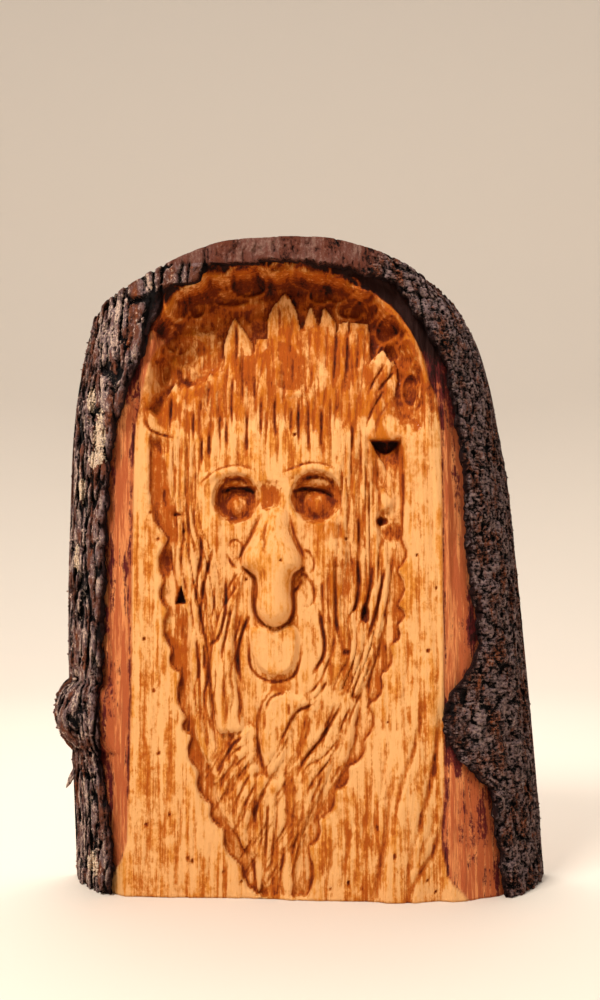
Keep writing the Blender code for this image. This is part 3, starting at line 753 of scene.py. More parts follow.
    def scoop(self, wood: Relief, centre_x: float, centre_z: float, half_x: float, half_z: float) -> None:
        """One round gouge cut: a clean hollow with chatter lines across it, painted shade along its upper
        edge and a paler ring round it.

        Args:
            wood: The relief to cut.
            centre_x: The scoop's place across.
            centre_z: Its height above the base.
            half_x: Half its width.
            half_z: Half its height.
        """
        across, up = (wood.x - centre_x) / half_x, (wood.z - centre_z) / half_z
        away = np.hypot(across, up)
        bowl = smooth(1.6 * (1 - away))
        wood.h -= 2.8 * bowl - 1.0 * np.exp(-((away - 1.05) / 0.16) ** 2)
        # Dark seam round the upper part of the edge: painted shade under the scoop's lip.
        seam = 0.42 * np.exp(-((away - 0.94) / 0.10) ** 2) * (up > -0.3)
        wood.stain_and_shade = wood.stain_and_shade * (1 - 0.50 * bowl) + seam
        wood.stain_and_shade *= 1 - 0.75 * np.exp(-((away - 1.12) / 0.10) ** 2)
        ripple = np.sin((away * half_z + 0.4 * across) * (2 * math.pi / 2.8))
        wood.stain_and_shade += 0.17 * bowl * ripple * (up > -0.2)
        wood.h += 0.32 * bowl * ripple * (up > -0.2)

    def highlight_ridge(self, wood: Relief, line: Line) -> None:
        """Sharp edge where two cuts meet: a thin raised line, unstained as a worn edge and painted paler
        still as a highlight.

        Args:
            wood: The relief to cut.
            line: The points of the edge.
        """
        near, distance, share = wood.along(rounded(line), 2.4)
        fade = smooth(share * 6) * smooth((1 - share) * 6) * smooth((1.7 - distance) / 1.3)
        wood.h[near] += 1.3 * fade
        wood.stain_and_shade[near] *= 1 - 0.85 * fade
        wood.stain_and_shade[near] -= 0.08 * fade


@dataclass(frozen=True)
class SunkGround:
    """Ground round the beard, sunk behind a scalloped stop cut."""

    depth: float = 5.5
    bulge: float = 5.5
    forehead_drop: float = 1.5
    left_cusps: Line = ((-31, 2), (-48, 25), (-60, 50), (-70, 68), (-79, 92), (-84, 118), (-88, 131),
                        (-92, 163), (-99, 181), (-102, 211), (-105, 232), (-103, 262))
    right_cusps: Line = ((0, 2), (2, 38), (10, 58), (22, 79), (32, 96), (44, 116), (47, 141), (56, 163),
                         (62, 184), (68, 199), (68, 214), (68, 240), (72, 262))
    ground_top: Line = ((74, 300), (72, 338), (70, 372), (-112, 372), (-117, 338), (-117, 300), (-113, 276))
    head: Line = (
        (-25, -6), (-40, 30), (-62, 60), (-70, 90), (-80, 112), (-85, 140), (-87, 190), (-92, 215),
        (-98, 240), (-97, 280), (-104, 310), (-105, 385), (50, 385), (50, 322), (60, 298), (64, 286),
        (54, 276), (61, 252), (63, 225), (56, 190), (48, 160), (32, 138), (22, 100), (8, 66), (-4, 34),
        (-12, -6))

    def scallops(self, cusps: Line, side: int) -> list[Point]:
        """Border of gouge cuts: an arc that bulges to one side between each pair of cusps.

        Args:
            cusps: Points between the cuts.
            side: 1 or -1, the side they bulge to.

        Returns:
            The points of the border.
        """
        line = []
        for (x0, z0), (x1, z1) in zip(cusps[:-1], cusps[1:]):
            length = math.hypot(x1 - x0, z1 - z0)
            out_x, out_z = side * (z1 - z0) / length, -side * (x1 - x0) / length
            for t in (0.0, 0.15, 0.4, 0.65, 0.9):
                bulge = self.bulge * (1 - (2 * t - 0.9) ** 2)
                line.append((x0 + (x1 - x0) * t + out_x * bulge, z0 + (z1 - z0) * t + out_z * bulge))
        line.append(cusps[-1])
        return line

    def sink(self, wood: Relief) -> None:
        """Lower the ground and leave the head's mass standing.

        Args:
            wood: The relief to cut.
        """
        left = self.scallops(self.left_cusps, -1)
        right = self.scallops(self.right_cusps, 1)
        outline = np.array(right + list(self.ground_top) + left[::-1], float)
        edge = wood.inside(outline)
        fade = smooth((345.0 - wood.z) / 12.0)
        sunk = smooth(edge / 1.6 + 0.5) * fade
        mass = smooth(wood.inside(rounded(self.head, True)) / 5.0 + 0.3)
        marks = gouge_marks(wood.x + 0.5 * wood.z, wood.z, 11.0, 15.0, 41)
        wood.h -= (self.depth - 1.2 * marks) * sunk * (1 - mass)
        wood.h -= self.forehead_drop * mass * sunk
        wood.stain_and_shade = wood.stain_and_shade * (1 - sunk)
        leftward = 0.25 + 0.75 * smooth((-30 - wood.x) / 40)
        wood.stain_and_shade += 0.16 * leftward * sunk * (1 - mass) * (0.4 + marks)
        # Dark line at the foot of the stop cut: stain gathered there and painted shade in the corner.
        rim = np.exp(-((edge - 0.8) / 0.9) ** 2) * fade * (1 - mass)
        wood.stain_and_shade = np.maximum(wood.stain_and_shade, 0.60 * rim * (0.75 + 0.35 * noise(wood.x, wood.z, 6, 6, 42)))
        mottle = noise(wood.x, wood.z, 5, 11, 43) + 0.7 * noise(wood.x, wood.z, 2.2, 5, 44)
        wood.amber += (0.42 + 0.5 * mottle) * leftward * sunk * (1 - mass)
        wood.stain_and_shade += 0.12 * np.clip(mottle, -0.6, 1) * sunk * (1 - mass)


@dataclass(frozen=True)
class Tuft:
    """Row of like locks: the first one's line, the shift of each point from lock to lock, and heights."""

    count: int
    line: Line
    shift: Line
    half: float
    at_tip: float
    at_foot: float


@dataclass(frozen=True)
class Beard:
    """Hair beside the face, moustache and beard: overlapping strands with their cuts."""

    strand_depth: float = 2.8
    drop: float = 4.5
    sides: tuple = (
        (((90, -72), (140, -85), (190, -87), (240, -97), (345, -105)),
         ((90, -48), (150, -49), (200, -58), (250, -68), (268, -76), (345, -76)), 5, 7),
        (((90, 20), (138, 36), (190, 56), (240, 64), (345, 60)),
         ((90, 8), (150, 18), (180, 28), (205, 22), (250, 22), (345, 30)), 5, 17))
    tufts: tuple = (
        Tuft(3, ((-46, 238), (-55, 205), (-57, 165), (-50, 124)), ((-3, -9), (-3, 0), (-4, 0), (-5, 0)),
         5.5, -1.5, 1.0),
        Tuft(3, ((0, 236), (9, 200), (14, 165), (6, 138)), ((5, -6), (5, 0), (5, 0), (7, 2)), 5.5, -1.0, 1.5),
        Tuft(6, ((-67, 82), (-53, 105), (-40, 120)), ((4.5, -9.5), (1.5, -9.5), (0, -9)), 7.0, -3.0, 0.6),
        Tuft(5, ((-15, 90), (8, 118), (17, 152)), ((2.5, -12), (4.5, -4), (4, -3)), 7.0, -1.0, 1.6))
    tip_half: float = 6.5
    tip_heights: Point = (-2.0, 1.2)
    tip_locks: tuple = (((-34, 4), (-32, 50), (-31, 84)), ((-28, 4), (-24.5, 50), (-23, 81)),
                        ((-22, 4), (-17, 50), (-15, 84)), ((-16, 4), (-9.5, 50), (-7, 81)))
    deep_blade: Blade = Blade(2.0, 3.2, 0.80)
    fine_blade: Blade = Blade(1.5, 1.6, 0.52)
    hole_foot: float = 213.0
    hole_tip: float = 229.0
    hole_middle: float = -93.0
    hole_depth: float = 7.0
    hollows: tuple = (
        Hollow((44, 207), (3.4, 8), 4.5, 0.8, 0.9), Hollow((57, 275), (5, 3.2), 4.0, 0.8, 0.85),
        Hollow((60, 291), (7.5, 10), -2.6), Hollow((65, 267), (9, 8), 2.2, 1.0, 0.45),
        Hollow((-103, 245), (5, 12), 2.0, 1.0, 0.5), Hollow((30, 178), (3, 3), 2.0, 1.0, 0.9))
    deep_cuts: tuple = (
        ((-78, 268), (-78, 250), (-80, 238), (-81, 225), (-82, 205)),
        ((-68, 256), (-70, 250), (-74, 235), (-77, 220), (-79, 190)),
        ((-60, 235), (-59, 222), (-60, 205), (-64, 190), (-70, 184), (-76, 181)),
        ((-54, 215), (-56, 205), (-58, 195), (-61, 180), (-62, 168)),
        ((-40, 208), (-46, 195), (-50, 175), (-47, 155), (-43, 149)),
        ((22, 252), (22.5, 205), (25, 190), (30, 178)),
        ((38, 250), (40, 230), (38, 215), (33, 205), (31, 196)), ((10, 212), (14, 180), (4, 160)),
        ((28, 143), (20, 129), (10, 113), (0, 101), (-8, 86)),
        ((-44, 118), (-52, 112), (-58, 103), (-66, 88)), ((60, 245), (56, 225), (52, 208), (44, 180)),
        ((50, 245), (48, 225), (43, 208), (38, 192)), ((-29, 80), (-34, 69), (-37, 60), (-36, 50)))
    cuts: tuple = (
        ((-97, 320), (-97.5, 305), (-97, 290)), ((-87.5, 332), (-88, 290), (-87, 250), (-88, 236)),
        ((-83, 330), (-82.5, 300), (-84, 262)), ((-92, 300), (-91, 270), (-93, 244), (-92, 228)),
        ((-101, 258), (-100, 245), (-97, 232)), ((-84, 236), (-85, 215), (-84, 196), (-86, 176)),
        ((-89, 212), (-88, 196), (-90, 180)), ((-73, 222), (-76, 200), (-75, 186)),
        ((-67, 232), (-68, 214), (-70, 200)),
        ((-80, 178), (-79, 165), (-82, 150), (-80, 134), (-76, 124)),
        ((-74, 176), (-72, 160), (-75, 146), (-72, 130), (-66, 118)),
        ((-67, 172), (-66, 156), (-68, 142), (-64, 128)), ((-50, 237), (-56, 228), (-58, 222)),
        ((-47, 208), (-50, 195), (-54, 182)), ((-52, 178), (-55, 162), (-53, 146), (-56, 130)),
        ((-57, 168), (-60, 152), (-58, 136), (-60, 124)), ((-48, 142), (-49, 132), (-47, 122)),
        ((-41, 105), (-50, 97), (-57, 88), (-65, 75)), ((-40, 98), (-46, 92), (-52, 82), (-58, 70)),
        ((-39, 91), (-45, 82), (-48, 75), (-54, 62)), ((-42, 74), (-47, 62), (-50, 53)),
        ((-43, 112), (-54, 104), (-62, 92), (-68, 80)), ((-36, 84), (-41, 74), (-45, 62), (-46, 50)),
        ((-31, 74), (-33, 62), (-32, 46), (-34, 30)), ((-14, 96), (-15, 80), (-13, 62), (-15, 42)),
        ((-14, 40), (-17, 25), (-20, 4)), ((-21, 80), (-21, 60), (-24, 32), (-27, 8)),
        ((-27, 70), (-28, 50), (-30, 26)), ((-8, 86), (-8, 66), (-9, 50)),
        ((8, 76), (3, 60), (-1, 50), (-4, 40), (-8, 25), (-13, 6)),
        ((-3, 62), (-6, 46), (-10, 30), (-13, 14)), ((14, 92), (7, 76), (2, 64)),
        ((22, 142), (18, 130), (12, 121)), ((26, 118), (18, 107), (10, 100), (2, 96), (-4, 86)),
        ((20, 102), (11, 92), (4, 82), (0, 72)), ((34, 140), (27, 126), (24, 116)),
        ((42, 150), (34, 134), (31, 122)), ((30, 172), (24, 160), (20, 148)),
        ((36, 176), (33, 160), (27, 146)), ((42, 178), (40, 164), (35, 150)),
        ((48, 178), (46, 166), (41, 152)), ((55, 186), (51, 170), (46, 158)),
        ((16, 158), (10, 148), (2, 142)), ((18, 176), (14, 164), (7, 152), (-3, 146)),
        ((22, 192), (19, 176), (14, 164)), ((17, 240), (17, 220), (18, 200), (19, 184)),
        ((12, 232), (13, 216), (14, 196)), ((27, 250), (28, 230), (27, 210), (30, 190)),
        ((33, 262), (34, 240), (32, 220)), ((55, 262), (54, 240), (52, 222)),
        ((65, 252), (63, 232), (60, 212), (54, 192)), ((45, 252), (45, 236), (46, 220)),
        ((38, 330), (38.5, 300), (38, 262)), ((45, 322), (45, 300), (44, 276), (46, 262)),
        ((51, 318), (50, 296), (51, 282)), ((31, 300), (32, 282), (30, 262)))

    def comb(self, wood: Relief, outer: Line, inner: Line, count: int, seed: int) -> None:
        """Long strands down one side of the face, between two curves given as (z, x).

        Args:
            wood: The relief to cut.
            outer: Outer curve.
            inner: Inner curve.
            count: Number of strands.
            seed: Seed of their waves.
        """
        x, z = wood.x, wood.z
        start, end = through(z, outer), through(z, inner)
        share = (x - start) / (end - start)
        wave = share + 0.05 * noise(x, z, 24, 55, seed)
        ridge = np.abs(np.sin(np.pi * count * wave)) ** 0.6
        fine = np.abs(np.sin(np.pi * count * 2.6 * (wave + 0.03 * noise(x, z, 12, 40, seed + 2)))) ** 0.7
        across = smooth(share * 8) * smooth((1 - share) * 5 + 0.4)
        hair = across * smooth((348 - z) / 12) * smooth((z - 96) / 25)
        rough = 1.2 * noise(x, z, 11, 48, seed + 1) - self.strand_depth * (1 - ridge) - 0.9 * (1 - fine)
        wood.h += rough * hair
        wood.stain_and_shade += hair * (0.30 * (1 - ridge) ** 2 + 0.18 * (1 - fine) ** 2)

    def build(self, wood: Relief, panel: Panel) -> None:
        """Comb the sides, lay the overlapping locks and cut the lines between them.

        Args:
            wood: The relief to cut.
            panel: The flat cut that the locks stand on.
        """
        for outer, inner, count, seed in self.sides:
            self.comb(wood, outer, inner, count, seed)
        base = float(panel.plane(-20.0))
        for tuft in self.tufts:
            for k in range(tuft.count):
                line = np.array(tuft.line, float) + k * np.array(tuft.shift, float)
                wood.lock(line, tuft.half, base + tuft.at_tip, base + tuft.at_foot, self.drop)
        at_tip, at_foot = self.tip_heights
        for line in self.tip_locks:
            wood.lock(line, self.tip_half, base + at_tip, base + at_foot, self.drop)

    def score(self, wood: Relief) -> None:
        """Deep cuts between the locks, finer cuts on them, and the holes where cuts meet.

        Args:
            wood: The relief to cut.
        """
        for line in self.deep_cuts:
            wood.cut(line, self.deep_blade)
        for line in self.cuts:
            wood.cut(line, self.fine_blade)
        # Pointed hole where cuts meet, painted black as the shade inside it.
        half = 4.6 * (self.hole_tip - wood.z) / 15
        beside = np.abs(wood.x - self.hole_middle)
        point = smooth((wood.z - self.hole_foot) / 2.0) * smooth((half - beside) / 1.2)
        wood.h -= self.hole_depth * point
        wood.stain_and_shade = np.maximum(wood.stain_and_shade, 1.15 * point)
        for hollow in self.hollows:
            wood.scoop(hollow)


@dataclass(frozen=True)
class Hair:
    """Locks that rise from the forehead into the niche, and the fringe cuts below them."""

    rise: float = 3.4
    body_drop: float = 2.0
    slope: float = 0.13
    shards: tuple = (
        (((-98, 381), (-104, 370), (-110, 355), (-113, 332), (-92, 332), (-91, 358), (-93, 372)), 0.06),
        (((-85, 377), (-90, 368), (-91, 350), (-92, 330), (-79, 330), (-79, 360), (-81, 371)), -0.08),
        (((-72, 388), (-77, 378), (-79, 360), (-79, 330), (-66, 330), (-65, 365), (-67, 381)), 0.10),
        (((-63, 391), (-66, 380), (-66, 340), (-58, 340), (-59, 382)), -0.10),
        (((-54, 432), (-58, 424), (-62, 410), (-61, 396), (-59, 350), (-50, 350), (-51, 396),
          (-50, 426)), 0.10),
        (((-51, 427), (-52, 396), (-50, 350), (-39, 350), (-39, 397), (-40, 411), (-45, 419)), -0.22),
        (((-37, 415), (-28, 415.5), (-27, 400), (-28, 350), (-40, 350), (-39, 402)), 0.05),
        (((-15.5, 452), (-20, 446), (-25, 440), (-28, 433), (-29, 424), (-28, 412), (-25, 380),
          (-22, 350), (-4, 350), (-2, 385), (-3, 412), (-4, 424), (-7, 437), (-11, 446)), 0.03),
        (((4.5, 441), (1, 432), (-1, 425), (-3, 411), (-2, 350), (10, 350), (10, 412), (9, 426),
          (6.5, 435)), 0.16),
        (((14, 440), (11.5, 427), (10, 412), (10, 350), (24, 350), (24, 418), (23, 428), (18, 435)), -0.10),
        (((25, 426), (33, 428), (34, 400), (33, 350), (24, 350), (24, 400)), 0.10),
        (((34, 427), (48, 426), (49, 413), (49, 398), (44, 350), (33, 350), (34, 400)), -0.06),
        (((59, 405), (54, 401), (49, 396), (45, 382), (38, 358), (33, 340), (46, 340), (52, 360),
          (60, 379), (66, 393)), 0.12),
        (((66, 399), (69, 390), (69.5, 380), (65, 362), (61, 338), (44, 338), (48, 358), (58, 377),
          (64, 390)), -0.08))
    crown_mass: Line = (
        (-113, 330), (-112, 362), (-99, 376), (-80, 382), (-66, 392), (-54, 412), (-44, 404), (-32, 410),
        (-18, 432), (-4, 424), (8, 428), (22, 418), (46, 424), (49, 398), (62, 390), (68, 366), (70, 336),
        (40, 326), (-80, 326))
    dark_cuts: tuple = (
        ((-55, 385), (-55.5, 364), (-55, 342)), ((-47, 407), (-47.5, 385), (-47, 362)),
        ((-38, 385), (-38.3, 375), (-38, 365)), ((-22.6, 368), (-23, 352), (-22.5, 337)),
        ((-73, 379), (-73.5, 369), (-73, 358)), ((-101, 368), (-101.5, 360), (-101, 351)),
        ((-84, 359), (-84.3, 348), (-84, 337)), ((24, 421), (22.5, 398), (21, 376)),
        ((32, 419), (31, 394), (29, 368)), ((40, 419), (39.5, 402), (38.5, 386)),
        ((-5, 366), (-5.2, 350), (-5, 333)), ((2.5, 367), (2.2, 348), (2.5, 328)),
        ((12, 361), (12, 345), (11.5, 330)), ((19, 367), (18.6, 348), (19, 329)),
        ((35, 348), (35, 338), (34.5, 328)), ((-77.5, 337), (-77.8, 328), (-77.5, 318)),
        ((-72, 340), (-72.3, 332), (-72, 325)), ((-64, 356), (-64.3, 346), (-64, 336)),
        ((-59, 352), (-59.3, 342), (-59, 331)), ((-43.5, 355), (-44, 340), (-43.7, 325)),
        ((-33, 368), (-33.6, 352), (-33.2, 338)), ((-10.5, 360), (-10.8, 350), (-10.5, 341)),
        ((-20, 440), (-19.3, 432), (-19.5, 423)),
        ((-53, 427), (-52, 410), (-52.5, 394)), ((60, 394), (53, 383), (47, 371)),
        ((67, 388), (60, 380), (53, 371)), ((58, 372), (50, 358), (45, 345)))
    cuts: tuple = (
        ((-101, 372), (-102, 352), (-101, 336)), ((-95, 366), (-94, 348), (-96, 334)),
        ((-90, 372), (-89, 352), (-90, 330)), ((-78, 372), (-79, 350), (-78, 326)),
        ((-70, 384), (-71, 355), (-70, 325)), ((-64, 378), (-65, 350), (-63, 330)),
        ((-58, 398), (-60, 372), (-59, 346)), ((-42, 396), (-43, 375), (-44, 352), (-43, 326)),
        ((-36, 405), (-38, 385), (-37, 360), (-34, 330)),
        ((-30, 404), (-33, 390), (-36, 376), (-38, 360)), ((-12, 437), (-10, 424), (-11, 414)),
        ((-14, 368), (-15, 352), (-13, 336)), ((4, 425), (3, 405), (3, 385)),
        ((16, 418), (16, 400), (15, 385)), ((16, 380), (13, 355), (12, 330)),
        ((24, 370), (22, 350), (20, 330)), ((29, 385), (27, 365), (27, 342)),
        ((39, 370), (38, 352), (37, 340)), ((46, 418), (45, 400), (42, 375), (40, 352)),
        ((64, 366), (55, 352), (52, 338)), ((-26, 420), (-24, 396), (-24, 372)),
        ((-30, 360), (-29, 345), (-30, 330)))
    flat_panel: Line = ((-21, 412), (-9, 410), (-2, 386), (-5, 373), (-20, 375))
    panel_foot: Line = ((-20, 371), (-12, 369.5), (-4, 371), (4, 370))
    fine_blade: Blade = Blade(1.3, 1.3, 0.40)

    def build(self, wood: Relief, panel: Panel, niche: Niche) -> None:
        """Raise the body of the hair and its locks, and cut the lines between them.

        Args:
            wood: The relief to cut.
            panel: The flat cut.
            niche: The bowl behind the hair.
        """
        x, z = wood.x, wood.z
        level = panel.plane(x) - self.body_drop - self.slope * np.clip(z - 340, 0, None)
        level = level + 0.5 * noise(x, z, 2.6, 22, 51)
        crown = wood.inside(rounded(self.crown_mass, True))
        body = smooth(crown / 8.0 + 0.3) * smooth((z - 326) / 18)
        wood.h = np.where(body > 0, np.maximum(wood.h, wood.h * (1 - body) + level * body), wood.h)
        wood.stain_and_shade *= 1 - 0.75 * body
        # Dark line just outside the hair's mass: stain with painted shade at its step.
        wood.stain_and_shade += 0.20 * np.exp(-((crown + 1.0) / 2.5) ** 2) * smooth((z - 350) / 20)
        mottle = noise(x, z, 8, 12, 52) + 0.8 * noise(x, z, 3, 6, 53)
        wood.amber += (0.56 + 0.5 * mottle) * smooth((z - 330 + 12 * mottle) / 30) * body
        wood.stain_and_shade += (0.12 + 0.13 * mottle) * body * smooth((z - 335) / 30)
        for outline, lean in self.shards:
            tip = max(outline, key=lambda point: point[1])
            top = float(panel.plane(tip[0])) - 0.8 + 0.35 * (tip[0] % 3 - 1)
            wood.shard(outline, float(niche.floor(panel, *tip)) + self.rise, top, lean)
        wood.patch(self.flat_panel, 0.34, 1.0)
        ragged = 1.6 * noise(x, z, 3.2, 8, 54) + 1.2 * noise(x, z, 1.6, 3, 55)
        wood.amber += 0.55 * smooth((wood.inside(np.array(self.flat_panel, float)) + ragged) / 3)
        # Foot of the flat panel: a sharp edge painted as a highlight.
        niche.highlight_ridge(wood, self.panel_foot)
        for line in self.cuts:
            wood.cut(line, self.fine_blade)
        for k, line in enumerate(self.dark_cuts):
            wood.cut(line, Blade(1.25 + 0.15 * (k % 3), 2.4, 0.88, 0.3, 0.2))


@dataclass(frozen=True)
class Face:
    """Brows, sockets, lids, eyeballs, nose, cheeks, lip and chin."""

    socket_depth: float = 13.0
    eyeball_rise: float = 8.0
    lid_rise: float = 4.0
    nose_height: float = 15.0
    eyes: tuple = ((-52.0, 292.0, 15.0, 17.0), (8.0, 293.0, 17.0, 18.0))
    brows: tuple = (((-80, 303), (-66, 311), (-52, 313.5), (-36, 309)),
                    ((-18, 309), (-2, 314), (10, 315), (27, 309)))
    brow_lines: tuple = (((-81, 302), (-72, 309), (-65, 314), (-52, 317), (-42, 315), (-35, 311)),
                         ((-18, 311), (-10, 314.5), (0, 318), (8, 318.5), (18, 316), (27, 310)))
    lids: tuple = (((-62, 298), (-55, 300.5), (-45, 300), (-39, 297.5)),
                   ((-8, 298), (-1, 300), (5, 299.8), (13, 298), (20, 294)))
    nose: Line = (
        (-31, 285), (-37, 272), (-42, 260), (-47, 250), (-46, 241), (-38, 234), (-36, 225), (-37, 212),
        (-33, 201), (-24, 196), (-15, 199), (-9, 208), (-10, 222), (-9, 234), (-3, 240), (-3, 249),
        (-8, 260), (-12, 272), (-14, 285))
    lip: Line = ((-39, 199), (-42, 182), (-36, 166), (-23, 159), (-9, 165), (-4, 182), (-8, 199))
    chin: Line = ((-33, 148), (-36, 120), (-34, 100), (-24, 84), (-14, 100), (-8, 128), (4, 142), (-14, 152))
    nose_tip: Line = ((-38, 214), (-35, 203), (-24, 195), (-12, 201), (-9, 212))
    under_nose: Line = ((-46, 240), (-38, 232), (-38, 208), (-24, 194), (-9, 206), (-9, 232), (-2, 239))
    nose_lines: tuple = (((-33, 282), (-38, 271), (-43, 260), (-48, 250), (-48, 241)),
                         ((-12, 282), (-9, 268), (-4, 256), (1, 244)),
                         ((-46, 240), (-42, 237), (-38, 231)), ((-9, 236), (-4, 239), (0, 242)),
                         ((-2, 254), (3, 252), (6, 246), (6, 240), (2, 236)),
                         ((-58, 254), (-55, 260), (-51, 261), (-47, 257), (-48, 250), (-53, 243)),
                         ((-59, 252), (-55, 244), (-49, 239)),
                         ((-8, 228), (-2, 236), (4, 230), (7, 222), (4, 213), (-4, 212)),
                         ((-9, 222), (-5, 227), (-2, 233)),
                         ((-36, 222), (-38, 214), (-36, 204)), ((-30, 274), (-30, 262), (-31, 250)))
    mouth_lines: tuple = (
        ((-42, 190), (-41, 170), (-35, 161), (-23, 156.5), (-10, 160), (-4, 172), (-3, 190)),
        ((-22, 154), (-27, 148), (-32, 140), (-35, 128), (-35, 112), (-31, 95), (-25, 85)),
        ((10, 145), (5, 140), (-3, 137), (-8, 133), (-14, 122), (-18, 113), (-20, 104)),
        ((-15, 149), (-22, 147), (-27, 143), (-30, 134)))

    swellings: tuple = (Hollow((-28, 294), (13, 13), 4.0), Hollow((-66, 262), (14, 22), -1.8),
                        Hollow((18, 258), (18, 24), -1.8))
    brow_blade: Blade = Blade(1.5, 1.6, 0.60)
    # Cut under each upper lid, painted black as the lid's shadow.
    lid_blade: Blade = Blade(2.0, 4.5, 1.1, 0.6, 0.6)
    socket_blade: Blade = Blade(1.8, 1.4, 0.62, 0.3, 0.3)
    nose_blade: Blade = Blade(1.5, 1.4, 0.52)
    under_nose_blade: Blade = Blade(2.4, 2.0, 0.20, 1.0, 1.0)
    tip_blade: Blade = Blade(1.3, 1.2, 0.55, 0.2, 0.2)
    mouth_blade: Blade = Blade(1.8, 2.0, 0.66)

    def build(self, wood: Relief, panel: Panel) -> None:
        """Model the forms of the face.

        Args:
            wood: The relief to cut.
            panel: The flat cut that the face stands on.
        """
        plane = panel.plane(wood.x)
        for line in self.brows:
            wood.ridge(line, 6.0, 2.4)
        for swelling in self.swellings:
            wood.scoop(swelling)
        for x, z, half_x, half_z in self.eyes:
            self.eye(wood, x, z, half_x, half_z)
        nose = wood.inside(rounded(self.nose, True))
        bridge = smooth((286 - wood.z) / 40)
        dome = np.sqrt(1 - (1 - np.clip(nose / 14.0, 0, 1)) ** 2) * (0.45 + 0.55 * bridge)
        level = plane - 4.0 + self.nose_height * dome
        on_nose = (nose > 0) & (level > wood.h)
        wood.h = np.where(on_nose, level, wood.h)
        wood.stain_and_shade = np.where(on_nose, wood.stain_and_shade * smooth(1 - nose / 3), wood.stain_and_shade)
        wood.cut(self.under_nose, self.under_nose_blade)
        wood.cut(self.nose_tip, self.tip_blade)
        lip = wood.inside(rounded(self.lip, True))
        pad = smooth(lip / 5.0) * (nose <= 0)
        wood.h += 4.0 * pad
        wood.stain_and_shade *= 1 - 0.7 * pad
        chin = wood.inside(rounded(self.chin, True))
        wood.h += 3.0 * smooth(chin / 6.0)
        wood.stain_and_shade *= 1 - 0.5 * smooth(chin / 6.0)

    def eye(self, wood: Relief, x: float, z: float, half_x: float, half_z: float) -> None:
        """One socket with its eyeball and heavy upper lid.

        Args:
            wood: The relief to cut.
            x: The socket's place across.
            z: Its height above the base.
            half_x: Half its width.
            half_z: Half its height.
        """
        wood.scoop(Hollow((x, z), (half_x + 3, half_z + 2), self.socket_depth, 0.75))
        wood.scoop(Hollow((x + 1, z - 4), (half_x * 0.66, half_z * 0.6), -self.eyeball_rise))
        wood.scoop(Hollow((x, z + 11), (half_x * 0.8, 5.0), -self.lid_rise))
        blotch = noise(wood.x, wood.z, 3.5, 3.5, 91) + 0.6 * noise(wood.x, wood.z, 1.8, 1.8, 92)
        away = np.hypot((wood.x - x) / half_x, (wood.z - z) / half_z)
        socket = smooth((1.18 - away + 0.10 * blotch) / 0.4)
        # Stain over the socket, with a darker ring heaviest along its top: painted shade under the brow.
        above = smooth((wood.z - z - 2) / 10)
        stain_and_shade = 0.40 + 0.18 * blotch + 0.24 * np.exp(-((away - 0.86) / 0.2) ** 2) * (0.35 + above)
        ball = np.hypot((wood.x - x - 1) / 8.6, (wood.z - z + 4) / 8.2)
        # On the eyeball: stain, a darker ring as painted shade where it meets the socket, and a pale middle
        # as a painted highlight.
        ball_stain_and_shading = 0.40 + 0.16 * blotch + 0.26 * np.exp(-((ball - 0.95) / 0.2) ** 2)
        ball_stain_and_shading -= 0.26 * np.exp(-((ball / 0.38) ** 2))
        stain_and_shade = np.where(ball < 1.0, ball_stain_and_shading, stain_and_shade)
        lid = np.hypot((wood.x - x) / (half_x * 0.72), (wood.z - z - 9.5) / 4.2)
        stain_and_shade = stain_and_shade - 0.36 * smooth((1.15 - lid) / 0.35)
        wood.stain_and_shade = wood.stain_and_shade * (1 - socket) + np.clip(stain_and_shade, 0.05, 1) * socket

    def score(self, wood: Relief) -> None:
        """Brow lines, lid lines and the cuts round nose, mouth and chin.

        Args:
            wood: The relief to cut.
        """
        for line in self.brow_lines:
            wood.cut(line, self.brow_blade)
        for line in self.lids:
            wood.cut(line, self.lid_blade)
        for x, z, half_x, half_z in self.eyes:
            turn = np.linspace(math.radians(172), math.radians(8), 9)
            arc = [(x + 0.9 * half_x * math.cos(a), z + 0.88 * half_z * math.sin(a)) for a in turn]
            wood.cut(arc, self.socket_blade)
        for line in self.nose_lines:
            wood.cut(line, self.nose_blade)
        for line in self.mouth_lines:
            wood.cut(line, self.mouth_blade)


@dataclass(frozen=True)
class WormHoles:
    """Round flight holes that beetles left."""

    radius: float = 1.25
    depth: float = 2.0
    places: Line = (
        (88, 15), (94, 7), (64, 33), (31, 13), (18, 9), (-47, 12), (-117, 52), (-120, 188), (-112, 150),
        (-100, 60), (-86, 28), (-83, 26), (-60, 18), (-108, 104), (-116, 282), (-110, 262), (60, 128),
        (84, 62), (52, 52), (90, 180), (96, 226), (82, 250), (-91, 268), (30, 262), (-44, 232),
        (-18, 246), (20, 305), (-8, 340))

    def bore(self, wood: Relief) -> None:
        """Bore each hole a little way in.

        Args:
            wood: The relief to cut.
        """
        for k, place in enumerate(self.places):
            half = self.radius * (0.8 + 0.12 * (k % 4))
            # Dark inside each hole: painted shade.
            wood.scoop(Hollow(place, (half, half * 1.2), self.depth, 0.7, 0.9))


